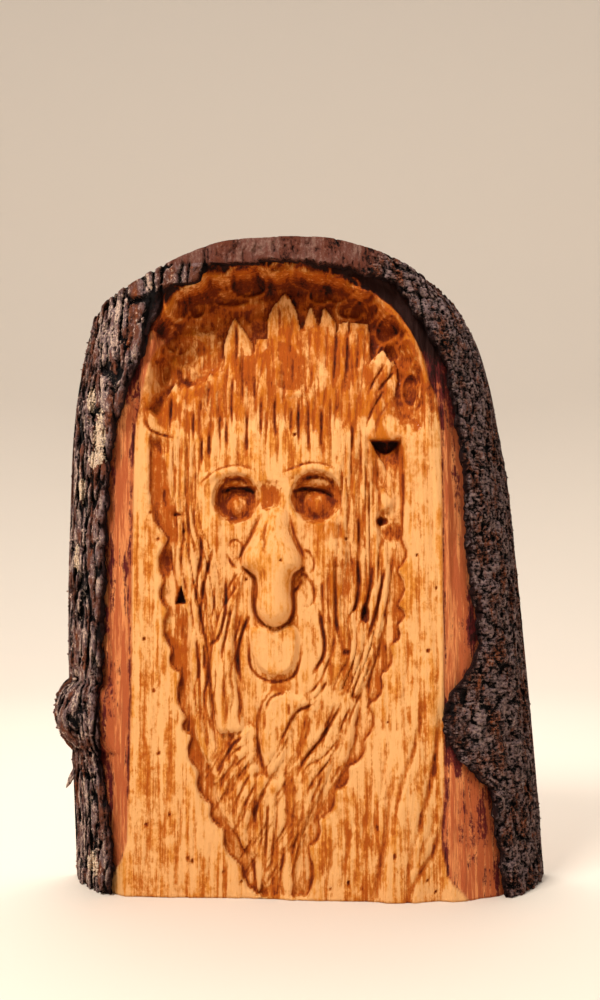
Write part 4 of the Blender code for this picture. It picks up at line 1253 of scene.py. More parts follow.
@dataclass(frozen=True)
class Ledges:
    """Notch under the ledge by the right temple, painted black as its shadow, and the small ledges by the
    left one.
    """

    under: float = 335.5
    left: float = 47.5
    right: float = 71.0
    lean: float = 0.55
    depth: float = 10.5
    height: float = 33.0
    notch_middle: float = 59.5
    notch_half: float = 11.5
    notch_depth: float = 4.0
    upper_cut: Line = ((-120, 350), (-115, 343), (-100, 338))
    upper_blade: Blade = Blade(1.8, 2.4, 0.9, 0.4, 0.4)
    hollows: tuple = (Hollow((-109, 332), (9, 8), 2.2, 1.0, 0.4), Hollow((-109, 290), (6, 29), 1.2, 1.0, 0.3))
    lower_cuts: tuple = ((((-106, 300), (-106, 292), (-104, 285)), Blade(1.6, 2.0, 0.9)),
                         (((-100, 280), (-96, 280.5), (-92, 280)), Blade(1.8, 2.2, 0.95, 0.3, 0.3)))

    def cut(self, wood: Relief) -> None:
        """Cut the notch and the ledges.

        Args:
            wood: The relief to cut.
        """
        under_top = self.under - wood.z
        slope = self.left + self.lean * np.clip(under_top, 0, None)
        beside = smooth((wood.x - slope) / 1.5) * smooth((self.right - wood.x) / 1.5)
        below = np.clip(under_top / self.height, 0, 1)
        wood.h -= self.depth * beside * (under_top > 0) * (1 - below) ** 1.4
        # Darker near the ledge: stain and painted shade under it.
        wood.stain_and_shade = np.maximum(wood.stain_and_shade, 0.45 * beside * (under_top > 0) * smooth((1 - below) * 2))
        # Black lens just under the ledge's edge: painted shadow.
        lens = 10.0 - 0.085 * (wood.x - 60) ** 2
        shadow_black = smooth((self.notch_half - np.abs(wood.x - self.notch_middle)) / 1.2)
        shadow_black *= smooth((lens - under_top) / 1.5) * (under_top > -0.5)
        wood.h -= self.notch_depth * shadow_black
        wood.stain_and_shade = np.maximum(wood.stain_and_shade, 1.2 * shadow_black)
        wood.cut(self.upper_cut, self.upper_blade)
        for hollow in self.hollows:
            wood.scoop(hollow)
        for line, blade in self.lower_cuts:
            wood.cut(line, blade)


@dataclass(frozen=True)
class Nicks:
    """Small cuts and torn fibres that follow the lie of the hair."""

    seed: int = 83
    count: int = 520
    least: tuple = (-98, 20, 8, 0)
    most: tuple = (62, 425, 34, 1)
    face_x: Point = (-74.0, 22.0)
    face_z: Point = (150.0, 332.0)

    def cut(self, wood: Relief) -> None:
        """Cut them all over hair and beard, and none on the face.

        Args:
            wood: The relief to cut.
        """
        draw = np.random.default_rng(self.seed)
        for x, z, length, kind in draw.uniform(self.least, self.most, (self.count, 4)):
            on_face = self.face_x[0] < x < self.face_x[1] and self.face_z[0] < z < self.face_z[1]
            if abs(x + 20) > 8 + 0.5 * max(0.0, z - 20) or on_face:
                continue
            lean = -0.62 if z < 120 else (-0.25 if z < 160 and x > 0 else 0.05 * (kind - 0.5))
            line = ((x, z), (x + lean * length / 2 + kind, z - length / 2), (x + lean * length, z - length))
            wood.cut(line, Blade(1.2 + 0.3 * kind, 0.5 + 0.9 * kind, 0.16 + 0.34 * kind))


@dataclass(frozen=True)
class Varnish:
    """Warmer and paler areas of the varnish, each a centre, its half sizes and an amount."""

    bridge: Point = (-28.0, 294.0)
    bridge_half: Point = (10.5, 11.0)
    areas: tuple = (((10, 268), (18, 9), 0.45), ((24, 226), (12, 10), 0.5), ((-28, 228), (14, 55), -0.5),
                    ((-30, 335), (30, 14), -0.2), ((59, 318), (14, 24), 0.4), ((-110, 295), (9, 36), 0.5),
                    ((82, 318), (14, 44), 0.30), ((30, 245), (16, 36), 0.3), ((-64, 244), (13, 34), 0.35))
    socket_amount: float = 0.8

    def brush(self, wood: Relief, eyes: tuple) -> None:
        """Tone the whole carving.

        Args:
            wood: The relief to tone.
            eyes: Centre and half sizes of each eye socket.
        """
        x, z = wood.x, wood.z
        wood.amber += 0.10 + 0.16 * smooth(x / 30) * smooth((62 - x) / 10)
        ragged = noise(x, z, 3.5, 5.0, 93) + 0.6 * noise(x, z, 1.8, 2.4, 94)
        bridge = smooth(1.9 - 1.7 * wood.away(self.bridge, self.bridge_half) + 1.5 * ragged)
        wood.amber += 0.88 * bridge
        wood.stain_and_shade += (0.20 + 0.14 * ragged) * bridge
        for centre, half, amount in self.areas:
            wood.tone(centre, half, amount)
        for centre_x, centre_z, half_x, half_z in eyes:
            wood.tone((centre_x, centre_z), (half_x, half_z), self.socket_amount)
        wood.amber = np.clip(wood.amber, 0, 1)


@dataclass
class CarvedWood:
    """The carved wood under the bark, from its sawn back to the relief on its front."""

    drawing: Drawing
    log: Log
    panel: Panel = field(default_factory=Panel)
    niche: Niche = field(default_factory=Niche)
    ground: SunkGround = field(default_factory=SunkGround)
    beard: Beard = field(default_factory=Beard)
    hair: Hair = field(default_factory=Hair)
    face: Face = field(default_factory=Face)
    ledges: Ledges = field(default_factory=Ledges)
    holes: WormHoles = field(default_factory=WormHoles)
    nicks: Nicks = field(default_factory=Nicks)
    varnish: Varnish = field(default_factory=Varnish)
    column_stops: tuple = (-179.0, -150.0, -129.0, -105.0, 76.0, 120.0, 179.0)
    column_steps: tuple = (5.0, 1.5, 1.25, 0.95, 1.5, 7.0)
    sawn_edge: float = 0.0012
    row_stops: tuple = (0.0, 90.0, 190.0, 345.0, 440.0, 468.0, 484.0)
    row_steps: tuple = (1.7, 1.35, 1.1, 1.35, 1.5, 5.0)
    arch_from: float = 400.0
    held_columns: Point = (-150.0, 76.0)
    sawn_tones: tuple = (("stain_and_shade", 0.08), ("amber", 0.40), ("red", 0.0), ("broad_shading", 0.0), ("fine", 0.0),
                         ("end", 1.0))

    def grid(self) -> tuple[Array, Array]:
        """Places of the surface's points: dense on the face, wide apart under the bark.

        Returns:
            Places across and heights above the base, as two grids.
        """
        u = spaced(self.column_stops, self.column_steps)[None, :]
        w = spaced(self.row_stops, self.row_steps)[:, None]
        bend = self.arch_from
        z = np.broadcast_to(w, (w.shape[0], u.shape[1])).copy()
        x = np.broadcast_to(u, z.shape).copy()
        for _ in range(4):
            top = self.log.top(x)
            z = np.where(w > bend, bend + (w - bend) * (top - bend) / (self.row_stops[-1] - bend), w)
            left, right = self.log.sides(z)
            left, right = left + self.log.bark, right - self.log.bark
            x = self.stretched(u, left, right)
        return x, z

    def stretched(self, u: Array, left: Array, right: Array) -> Array:
        """Columns kept in place on the carving, and drawn to the log's sides beyond it.

        Args:
            u: The columns before they are drawn.
            left: Left side of the wood.
            right: Right side of the wood.

        Returns:
            The columns' places across.
        """
        first, last = self.column_stops[0], self.column_stops[-1]
        hold_left, hold_right = self.held_columns
        low = left + (u - first) * (hold_left - left) / (hold_left - first)
        high = hold_right + (u - hold_right) * (right - hold_right) / (last - hold_right)
        middle = np.broadcast_to(u, low.shape)
        inner = np.where(u > hold_right, high, middle)
        return np.where(u < hold_left, low, inner)

    def carve(self) -> Relief:
        """Work the whole relief.

        Returns:
            The finished relief.
        """
        x, z = self.grid()
        wood = Relief(x, z, self.log.wood_top(x, z))
        self.panel.cut(wood)
        self.niche.cut(wood, self.panel)
        self.ground.sink(wood)
        self.beard.build(wood, self.panel)
        self.hair.build(wood, self.panel, self.niche)
        self.face.build(wood, self.panel)
        self.beard.score(wood)
        self.face.score(wood)
        self.ledges.cut(wood)
        self.holes.bore(wood)
        self.nicks.cut(wood)
        self.panel.mark(wood)
        self.varnish.brush(wood, self.face.eyes)
        wood.stain_and_shade = 0.6 * wood.stain_and_shade + 0.4 * blurred(wood.stain_and_shade, 1)
        wood.h = np.clip(wood.h, 0.6, self.log.crown - 1.0)
        return wood

    def build(self) -> bpy.types.Object:
        """Make the closed mesh, with its stain and painted shade and their fellows as attributes.

        Returns:
            The finished piece, without its material.
        """
        wood = self.carve()
        rows, columns = wood.x.shape
        front = self.drawing.place(wood.x, wood.h, wood.z).reshape(-1, 3)
        index = np.arange(rows * columns).reshape(rows, columns)
        rim = np.concatenate([index[0], index[1:, -1], index[-1, -2::-1], index[-2:0:-1, 0]])
        near, back = front[rim].copy(), front[rim].copy()
        back[:, 1] = self.drawing.place(0.0, 0.0, 0.0)[1]
        near[:, 1] += np.minimum(self.sawn_edge, 0.5 * (back[:, 1] - near[:, 1]))
        close = rows * columns + np.arange(len(rim))
        far = close + len(rim)
        quads = quad_faces(index)
        edges = np.stack([rim, close, np.roll(close, -1), np.roll(rim, -1)], axis=-1)
        walls = np.stack([close, far, np.roll(far, -1), np.roll(close, -1)], axis=-1)
        faces = quads.tolist() + edges.tolist() + walls.tolist() + [far[::-1].tolist()]
        piece = mesh_object("carved_wood", np.vstack([front, near, back]), faces, len(quads))
        # Curvature of the relief at two scales, which the finish turns into painted shade in hollows and
        # painted highlight on ridges.
        broad_shading = np.clip((wood.h - blurred(wood.h, 9)) / 5.0, -1, 1)
        fine = np.clip((wood.h - blurred(wood.h, 2)) / 1.2, -1, 1)
        levels = (wood.stain_and_shade, wood.amber, wood.red, broad_shading, fine, np.zeros_like(fine))
        for (name, sawn), level in zip(self.sawn_tones, levels):
            set_attribute(piece, name, np.concatenate([level.ravel(), np.full(2 * len(rim), sawn)]))
        return piece


def quad_faces(index: Array) -> Array:
    """Quads between the neighbouring points of a grid of vertex numbers."""
    return np.stack([index[:-1, :-1], index[:-1, 1:], index[1:, 1:], index[1:, :-1]], axis=-1).reshape(-1, 4)


def mesh_object(name: str, places: Array, faces: list, smooth_faces: int) -> bpy.types.Object:
    """New mesh object at the origin, linked to the scene.

    Args:
        name: The piece's name.
        places: Its vertices in metres.
        faces: Its faces as lists of vertex numbers.
        smooth_faces: How many of the first faces are shaded smooth.

    Returns:
        The object.
    """
    mesh = bpy.data.meshes.new(name)
    mesh.from_pydata(places.tolist(), [], faces)
    soft = np.zeros(len(faces), bool)
    soft[:smooth_faces] = True
    mesh.polygons.foreach_set("use_smooth", soft)
    mesh.update()
    piece = bpy.data.objects.new(name, mesh)
    bpy.context.scene.collection.objects.link(piece)
    return piece


def set_attribute(piece: bpy.types.Object, name: str, values: Array) -> None:
    """Store one number for each vertex."""
    layer = piece.data.attributes.new(name, "FLOAT", "POINT")
    layer.data.foreach_set("value", values.astype(np.float32))


@dataclass
class Bark:
    """The bark left on the rim: a shell from the base up the left, over the arch and down the right."""

    drawing: Drawing
    log: Log
    steps: tuple[int, int, int] = (450, 320, 470)
    across: int = 66
    under_columns: int = 5
    ragged: float = 3.4
    blend: int = 30
    top_range: Point = (-88.0, 42.0)
    pattern_blend: float = 34.0
    lichen_spots: tuple = ((-164, 371, 3.5, 9), (-155, 340, 5, 20), (-158, 322, 7, 6), (-172, 300, 4, 8),
                           (-176, 250, 3, 10), (-160, 20, 6, 8))
    left_inner: Line = (
        (0, -141), (31, -142), (98, -152), (217, -149), (291, -147), (350, -139), (378, -129),
        (400, -120), (420, -114), (436, -107))
    top_inner: Line = (
        (-107, 436), (-101, 446), (-80, 452), (-70, 464), (-57, 464), (0, 465.5), (38, 458), (70, 446),
        (90, 416))
    right_inner: Line = ((0, 146), (40, 140), (88, 126), (108, 106), (148, 106), (165, 119), (250, 118),
                         (330, 115), (372, 108), (395, 103), (416, 90))

    def rim(self) -> tuple[Array, Array, Array]:
        """Outer and inner edge of the bark at each station, and the stretch that it is on.

        Returns:
            Outer points, inner points and the kind's number, one row for each station.
        """
        log = self.log
        low, high = float(log.top(log.left_corner)), float(log.top(log.right_corner))
        t = [np.linspace(0, 1, n, endpoint=k == 2) for k, n in enumerate(self.steps)]
        left_z, left_in = t[0] * low, t[0] * self.left_inner[-1][0]
        left = (log.sides(left_z)[0], left_z, through(left_in, self.left_inner), left_in)
        top_x = log.left_corner + t[1] * (log.right_corner - log.left_corner)
        first, last = self.top_inner[0][0], self.top_inner[-1][0]
        top_in = first + t[1] * (last - first)
        top = (top_x, log.top(top_x), top_in, through(top_in, self.top_inner))
        right_z, right_in = (1 - t[2]) * high, (1 - t[2]) * self.right_inner[-1][0]
        right = (log.sides(right_z)[1], right_z, through(right_in, self.right_inner), right_in)
        x0, z0, x1, z1 = (np.concatenate(parts) for parts in zip(left, top, right))
        kind = np.repeat([BarkKind.LEFT.value, BarkKind.TOP.value, BarkKind.RIGHT.value], self.steps)
        return np.stack([x0, z0], -1), np.stack([x1, z1], -1), kind.astype(float)

    def pattern(self, x: Array) -> Array:
        """Number of the bark pattern that shows at a place, blended between the kinds.

        Args:
            x: Places across.

        Returns:
            The number of the pattern, which is whole outside the blends.
        """
        left_end, right_end = self.top_range
        right = smooth((x - right_end) / self.pattern_blend)
        return BarkKind.TOP.value + right - smooth((left_end - x) / self.pattern_blend)

    def build(self) -> bpy.types.Object:
        """Make the closed shell, cracked and scaly on its outside.

        Returns:
            The finished piece, without its material.
        """
        outer, inner, stretch = self.rim()
        stations = np.arange(len(stretch))
        wander = noise(stations, 0 * stations, 9, 1, 61) + 0.6 * noise(stations, 0 * stations, 3, 1, 62)
        toward = (inner - outer) / np.linalg.norm(inner - outer, axis=1)[:, None]
        inner = inner - toward * self.ragged * (wander * 0.5 + 0.2)[:, None]
        window = 2 * self.blend + 1
        padded = np.pad(stretch, self.blend, mode="edge")
        stretch = np.convolve(padded, np.ones(window) / window, mode="valid")
        top_share = np.clip(1 - np.abs(stretch - BarkKind.TOP.value), 0, 1)
        t = np.linspace(0, 1, self.across)[None, :]
        power = 1.55 - 0.55 * top_share[:, None]
        v = t**power
        x = outer[:, :1] + (inner[:, :1] - outer[:, :1]) * v
        z = outer[:, 1:] + (inner[:, 1:] - outer[:, 1:]) * v
        smooth_h = self.log.bark_top(x, z)
        kind = self.pattern(outer[:, 0])
        crack, h = self.cracked(x, z, smooth_h, kind[:, None], t)
        under_t = np.linspace(0, 1, self.under_columns)[None, :]
        under_v = under_t**power
        ux = outer[:, :1] + (inner[:, :1] - outer[:, :1]) * under_v
        uz = outer[:, 1:] + (inner[:, 1:] - outer[:, 1:]) * under_v
        lift = 1 - np.clip(1 - top_share[:, None] * 1.2, 0, 1) * (under_t == 0)
        uh = np.clip(self.log.wood_top(ux, uz) - 0.6, 0, None) * lift
        return self.shell(np.stack([x, h, z], -1), np.stack([ux, uh, uz], -1), crack, kind, t)

    def cracked(self, x: Array, z: Array, h: Array, kind: Array, t: Array) -> tuple[Array, Array]:
        """Cut the bark's cracks inward from its smooth face.

        Args:
            x: Places across.
            z: Heights above the base.
            h: The smooth face.
            kind: Number of the stretch at each station.
            t: Share of the way across the rim.

        Returns:
            The depth of the cracks as a share, and the cracked face.
        """
        left = np.clip(1 - kind, 0, 1)
        right = np.clip(kind - 1, 0, 1)
        top = 1 - left - right
        girth = x + 0.9 * (self.log.crown - h) * np.sign(x)
        warp = 5.0 * noise(girth, z, 14, 26, 71)
        furrow = smooth(1 - np.abs(noise(girth + warp, z, 9.5, 52, 72)) / 0.22)
        shreds = gouge_marks(girth + warp, z + 0.2 * warp, 6.5, 17.0, 73)
        blocks = gouge_marks(girth + warp, z + 0.15 * girth, 11.0, 8.5, 74)
        scales = gouge_marks(girth + 0.5 * warp, z + 0.3 * warp, 6.5, 3.4, 75)
        left_crack = 0.9 * furrow + 0.7 * smooth((shreds - 0.44) / 0.22)
        right_crack = 0.75 * smooth((blocks - 0.50) / 0.2) + 0.55 * smooth((scales - 0.34) / 0.25)
        top_crack = 0.34 * smooth((shreds - 0.5) / 0.3) + 0.26 * furrow
        corner = smooth((1 - np.abs(kind - 0.35) / 0.35))
        crack = left * left_crack + right * right_crack + top * (top_crack + 0.4 * corner * left_crack)
        crack = np.clip(crack + 0.14 * noise(girth, z, 2.0, 2.6, 76), 0, 1.3)
        edge = smooth((t - 0.90) / 0.10)
        tilt = 1.6 * np.clip(noise(girth, z, 7, 9, 79), -0.6, 1) * (left + right)
        depth = (4.6 - 1.8 * right) * crack + 1.5 * (1 + noise(girth, z, 20, 42, 77)) + 2.6 * edge**2 + tilt
        steep = np.clip(np.abs(np.gradient(h, axis=1) / np.maximum(np.hypot(
            np.gradient(x, axis=1), np.gradient(z, axis=1)), 1e-3)), 0, 2.2)
        return crack, np.maximum(h - depth * (1 + 0.5 * steep), np.minimum(h, 2.0))

    def shell(self, top: Array, under: Array, crack: Array, kind: Array, t: Array) -> bpy.types.Object:
        """Join outside and underside into one closed mesh.

        Args:
            top: Places of the outside.
            under: Places of the underside.
            crack: Depth of the cracks as a share.
            kind: Number of the pattern at each station.
            t: Share of the way across the rim.

        Returns:
            The piece, with its attributes.
        """
        rows, columns = top.shape[:2]
        count = rows * columns
        index = np.arange(count).reshape(rows, columns)
        low = count + np.arange(under.shape[0] * under.shape[1]).reshape(under.shape[:2])
        outside = quad_faces(index)
        inside = quad_faces(low)[:, ::-1]
        outer_wall = np.stack([index[:-1, 0], index[1:, 0], low[1:, 0], low[:-1, 0]], -1)
        inner_wall = np.stack([index[1:, -1], index[:-1, -1], low[:-1, -1], low[1:, -1]], -1)
        first = [*index[0, ::-1].tolist(), *low[0].tolist()]
        last = [*index[-1].tolist(), *low[-1, ::-1].tolist()]
        faces = outside.tolist() + inside.tolist() + outer_wall.tolist() + inner_wall.tolist() + [first, last]
        both = np.vstack([top.reshape(-1, 3), under.reshape(-1, 3)])
        places = self.drawing.place(both[:, 0], both[:, 1], both[:, 2])
        piece = mesh_object("bark", places, faces, len(outside))
        tail = np.ones(under.shape[0] * under.shape[1])
        set_attribute(piece, "crack", np.concatenate([crack.ravel(), tail * 0.6]))
        both_kinds = [np.repeat(kind, columns), np.repeat(kind, under.shape[1])]
        set_attribute(piece, "kind", np.concatenate(both_kinds))
        inward = np.broadcast_to(t, crack.shape)
        set_attribute(piece, "inward", np.concatenate([inward.ravel(), tail]))
        x, h, z = top[..., 0], top[..., 1], top[..., 2]
        raised = (crack < 0.45) & (inward < 0.93) & (h > 6.0) & (z > 6.0) & (z < self.log.top(x) - 6.0)
        flaky = (0.25 + np.clip(noise(x, z, 16, 22, 81), 0, 1)) * (np.abs(kind[:, None] - 1) > 0.4)
        set_attribute(piece, "flaky", np.concatenate([(raised * flaky).ravel(), 0 * tail]))
        crust = np.zeros_like(x)
        for centre_x, centre_z, half_x, half_z in self.lichen_spots:
            away = ((x - centre_x) / half_x) ** 2 + ((z - centre_z) / half_z) ** 2
            crust = np.maximum(crust, smooth(1.3 - away + 0.7 * noise(x, z, 5, 6, 82)))
        set_attribute(piece, "crust", np.concatenate([(crust * (h > 6.0)).ravel(), 0 * tail]))
        return piece


def tube(points: Sequence[Place], radii: Sequence[float], seed: int) -> tuple[Array, list]:
    """Closed knobbly tube along a smooth curve in the drawing.

    Args:
        points: Points of its middle line, as x, h and z.
        radii: Its radius at each of them.
        seed: Seed of its knobs.

    Returns:
        Its vertices as x, h and z, and its faces.
    """
    line = rounded([(*point, radius) for point, radius in zip(points, radii)], False, 6)
    middle, radius = line[:, :3], np.clip(line[:, 3], 0.3, None)
    turns, cap = 18, 0.4
    ahead = np.gradient(middle, axis=0)
    ahead /= np.linalg.norm(ahead, axis=1)[:, None]
    side = np.cross(ahead, np.array([0.31, 0.84, 0.45]))
    side /= np.linalg.norm(side, axis=1)[:, None]
    up = np.cross(side, ahead)
    angle = np.linspace(0, 2 * np.pi, turns, endpoint=False)
    step, turn = np.meshgrid(np.arange(len(middle)), np.arange(turns), indexing="ij")
    knobs = 1 + 0.30 * noise(3.0 * turn, 1.0 * step, 5.0, 7.0, seed)
    knobs += 0.14 * noise(3.0 * turn, 1.0 * step, 2.4, 2.5, seed + 1)
    reach = radius[:, None] * knobs
    ring = middle[:, None] + reach[..., None] * (np.cos(angle)[None, :, None] * side[:, None]
                                                + np.sin(angle)[None, :, None] * up[:, None])
    places = np.vstack([ring.reshape(-1, 3), middle[:1] - ahead[:1] * cap, middle[-1:] + ahead[-1:] * cap])
    index = np.arange(len(middle) * turns).reshape(len(middle), turns)
    wrapped = np.concatenate([index, index[:, :1]], axis=1)
    faces = quad_faces(wrapped).tolist()
    first, last = len(places) - 2, len(places) - 1
    faces += [[first, wrapped[0, k + 1], wrapped[0, k]] for k in range(turns)]
    faces += [[last, wrapped[-1, k], wrapped[-1, k + 1]] for k in range(turns)]
    return places, faces


@dataclass(frozen=True)
class BranchStub:
    """Curled lips of wood round the broken branch on the left edge, and the spur of a twig below it."""

    drawing: Drawing
    lips: tuple = (
        (((-174, 13, 138), (-183, 13, 138), (-189, 13, 137), (-192.5, 13, 135)), (9.0, 8.5, 6.5, 3.0)),
        (((-174, 12, 119), (-183, 12, 119), (-188, 12, 119), (-191.5, 12, 121)), (8.5, 8.0, 6.5, 3.0)),
        (((-174, 20, 149), (-182, 21, 147), (-189, 19, 144), (-194, 14, 141)), (2.6, 3.2, 2.8, 1.8)),
        (((-176, 24, 134), (-183, 24, 133), (-190, 21, 131), (-194.5, 15, 130)), (2.6, 3.4, 3.0, 1.8)),
        (((-176, 22, 120), (-183, 21, 120), (-189, 19, 122), (-194, 13, 124)), (2.6, 3.0, 2.6, 1.8)),
        (((-174, 12, 98), (-180, 13, 102), (-186, 13, 108), (-191, 12, 113)), (2.6, 3.2, 2.8, 1.8)))
    spur: tuple = (((-176, 11, 85), (-181, 11, 79), (-185, 11, 73), (-187, 11, 69)), (3.4, 2.6, 1.5, 0.5))

    def join(self, name: str, tubes: Sequence[tuple], crack: float, seed: int) -> bpy.types.Object:
        """One piece made of several closed tubes, with the bark's attributes for its finish.

        Args:
            name: The piece's name.
            tubes: Points and radii of each tube.
            crack: How dark its folds are.
            seed: Seed of its knobs.

        Returns:
            The piece.
        """
        places, faces = [], []
        for k, (points, radii) in enumerate(tubes):
            part, part_faces = tube(points, radii, seed + 3 * k)
            start = sum(len(p) for p in places)
            places.append(part)
            faces += [[start + v for v in face] for face in part_faces]
        stacked = np.vstack(places)
        world = self.drawing.place(stacked[:, 0], stacked[:, 1], stacked[:, 2])
        piece = mesh_object(name, world, faces, len(faces))
        shape = bmesh.new()
        shape.from_mesh(piece.data)
        bmesh.ops.recalc_face_normals(shape, faces=shape.faces)
        shape.to_mesh(piece.data)
        shape.free()
        fold = noise(stacked[:, 0] + stacked[:, 1], stacked[:, 2], 1.6, 3.4, seed)
        set_attribute(piece, "crack", crack + 0.5 * np.clip(fold, 0, 1))
        set_attribute(piece, "kind", np.zeros(len(stacked)))
        set_attribute(piece, "inward", np.zeros(len(stacked)))
        return piece

    def build(self) -> list[bpy.types.Object]:
        """Make the stub's lips and the twig's spur.

        Returns:
            The stub and the spur.
        """
        return [self.join("branch_stub", self.lips, 0.10, 201),
                self.join("twig_spur", (self.spur,), 0.0, 251)]


@dataclass(frozen=True)
class Scatter:
    """Small flakes strewn over the bark by Geometry Nodes, where one of its attributes allows them."""

    name: str
    mask: str
    density: float
    least: Place
    most: Place
    seed: int
    roundness: int = 2

    def tree(self) -> bpy.types.NodeTree:
        """Build the node tree: points on the ground's faces, a flake on each, made real and given its finish.

        Returns:
            The node tree, with its named inputs.
        """
        tree = bpy.data.node_groups.new(self.name, "GeometryNodeTree")
        tree.interface.new_socket("Geometry", in_out="OUTPUT", socket_type="NodeSocketGeometry")
        for name, kind in (("Geometry", "Geometry"), ("Ground", "Object"), ("Density", "Float"),
                           ("Seed", "Int"), ("Finish", "Material")):
            tree.interface.new_socket(name, in_out="INPUT", socket_type="NodeSocket" + kind)
        nodes = tree.nodes
        inputs, outputs = nodes.new("NodeGroupInput"), nodes.new("NodeGroupOutput")
        ground = nodes.new("GeometryNodeObjectInfo")
        mask = nodes.new("GeometryNodeInputNamedAttribute")
        mask.data_type = "FLOAT"
        mask.inputs["Name"].default_value = self.mask
        amount = nodes.new("ShaderNodeMath")
        amount.operation = "MULTIPLY"
        points = nodes.new("GeometryNodeDistributePointsOnFaces")
        flake = nodes.new("GeometryNodeMeshIcoSphere")
        flake.inputs["Radius"].default_value = 1.0
        flake.inputs["Subdivisions"].default_value = self.roundness
        size = nodes.new("FunctionNodeRandomValue")
        size.data_type = "FLOAT_VECTOR"
        size.inputs["Min"].default_value = self.least
        size.inputs["Max"].default_value = self.most
        place = nodes.new("GeometryNodeInstanceOnPoints")
        real = nodes.new("GeometryNodeRealizeInstances")
        finish = nodes.new("GeometryNodeSetMaterial")
        wires = ((inputs, "Ground", ground, "Object"), (ground, "Geometry", points, "Mesh"),
                 (mask, "Attribute", amount, 0), (inputs, "Density", amount, 1),
                 (amount, "Value", points, "Density"), (inputs, "Seed", points, "Seed"),
                 (points, "Points", place, "Points"), (points, "Rotation", place, "Rotation"),
                 (flake, "Mesh", place, "Instance"), (size, "Value", place, "Scale"),
                 (place, "Instances", real, "Geometry"), (real, "Geometry", finish, "Geometry"),
                 (inputs, "Finish", finish, "Material"), (finish, "Geometry", outputs, "Geometry"))
        for source, output, target, socket in wires:
            tree.links.new(source.outputs[output], target.inputs[socket])
        return tree

    def strew(self, ground: bpy.types.Object, material: Any) -> bpy.types.Object:
        """Run the tree over the ground and keep its result as a plain mesh.

        Args:
            ground: The piece to strew the flakes over.
            material: Their finish.

        Returns:
            The flakes as one piece.
        """
        carrier = mesh_object(self.name + "_source", np.zeros((1, 3)), [], 0)
        tree = self.tree()
        modifier = carrier.modifiers.new("scatter", "NODES")
        modifier.node_group = tree
        names = {item.name: item.identifier for item in tree.interface.items_tree if item.in_out == "INPUT"}
        modifier[names["Ground"]] = ground
        modifier[names["Density"]] = self.density
        modifier[names["Seed"]] = self.seed
        modifier[names["Finish"]] = material
        depsgraph = bpy.context.evaluated_depsgraph_get()
        mesh = bpy.data.meshes.new_from_object(carrier.evaluated_get(depsgraph))
        carrier.modifiers.remove(modifier)
        bpy.data.objects.remove(carrier)
        mesh.name = self.name
        mesh.polygons.foreach_set("use_smooth", np.ones(len(mesh.polygons), bool))
        piece = bpy.data.objects.new(self.name, mesh)
        bpy.context.scene.collection.objects.link(piece)
        return piece


class Number:
    """A shader socket that takes part in Python sums: each sum adds a Math node."""

    def __init__(self, shades: "Shades", socket: Any) -> None:
        """Wrap a socket of a material's tree."""
        self.shades = shades
        self.socket = socket

    def sum_with(self, operation: str, *others: Any) -> "Number":
        """Result of one Math node on this and other numbers."""
        return self.shades.maths(operation, self, *others)

    def __add__(self, other: Any) -> "Number":
        """Sum."""
        return self.sum_with("ADD", other)

    def __radd__(self, other: Any) -> "Number":
        """Sum, reflected."""
        return self.shades.maths("ADD", other, self)

    def __sub__(self, other: Any) -> "Number":
        """Difference."""
        return self.sum_with("SUBTRACT", other)

    def __rsub__(self, other: Any) -> "Number":
        """Difference, reflected."""
        return self.shades.maths("SUBTRACT", other, self)

    def __mul__(self, other: Any) -> "Number":
        """Product."""
        return self.sum_with("MULTIPLY", other)

    def __rmul__(self, other: Any) -> "Number":
        """Product, reflected."""
        return self.shades.maths("MULTIPLY", other, self)

    def __pow__(self, other: Any) -> "Number":
        """Power."""
        return self.sum_with("POWER", other)

    def ramp(self, low: float, high: float) -> "Number":
        """Soft step from 0 at low to 1 at high.

        Args:
            low: Value that becomes 0.
            high: Value that becomes 1.

        Returns:
            The new value.
        """
        settings = {"interpolation_type": "SMOOTHSTEP"}
        inputs = {"Value": self, "From Min": low, "From Max": high}
        return self.shades.node("ShaderNodeMapRange", settings, inputs)


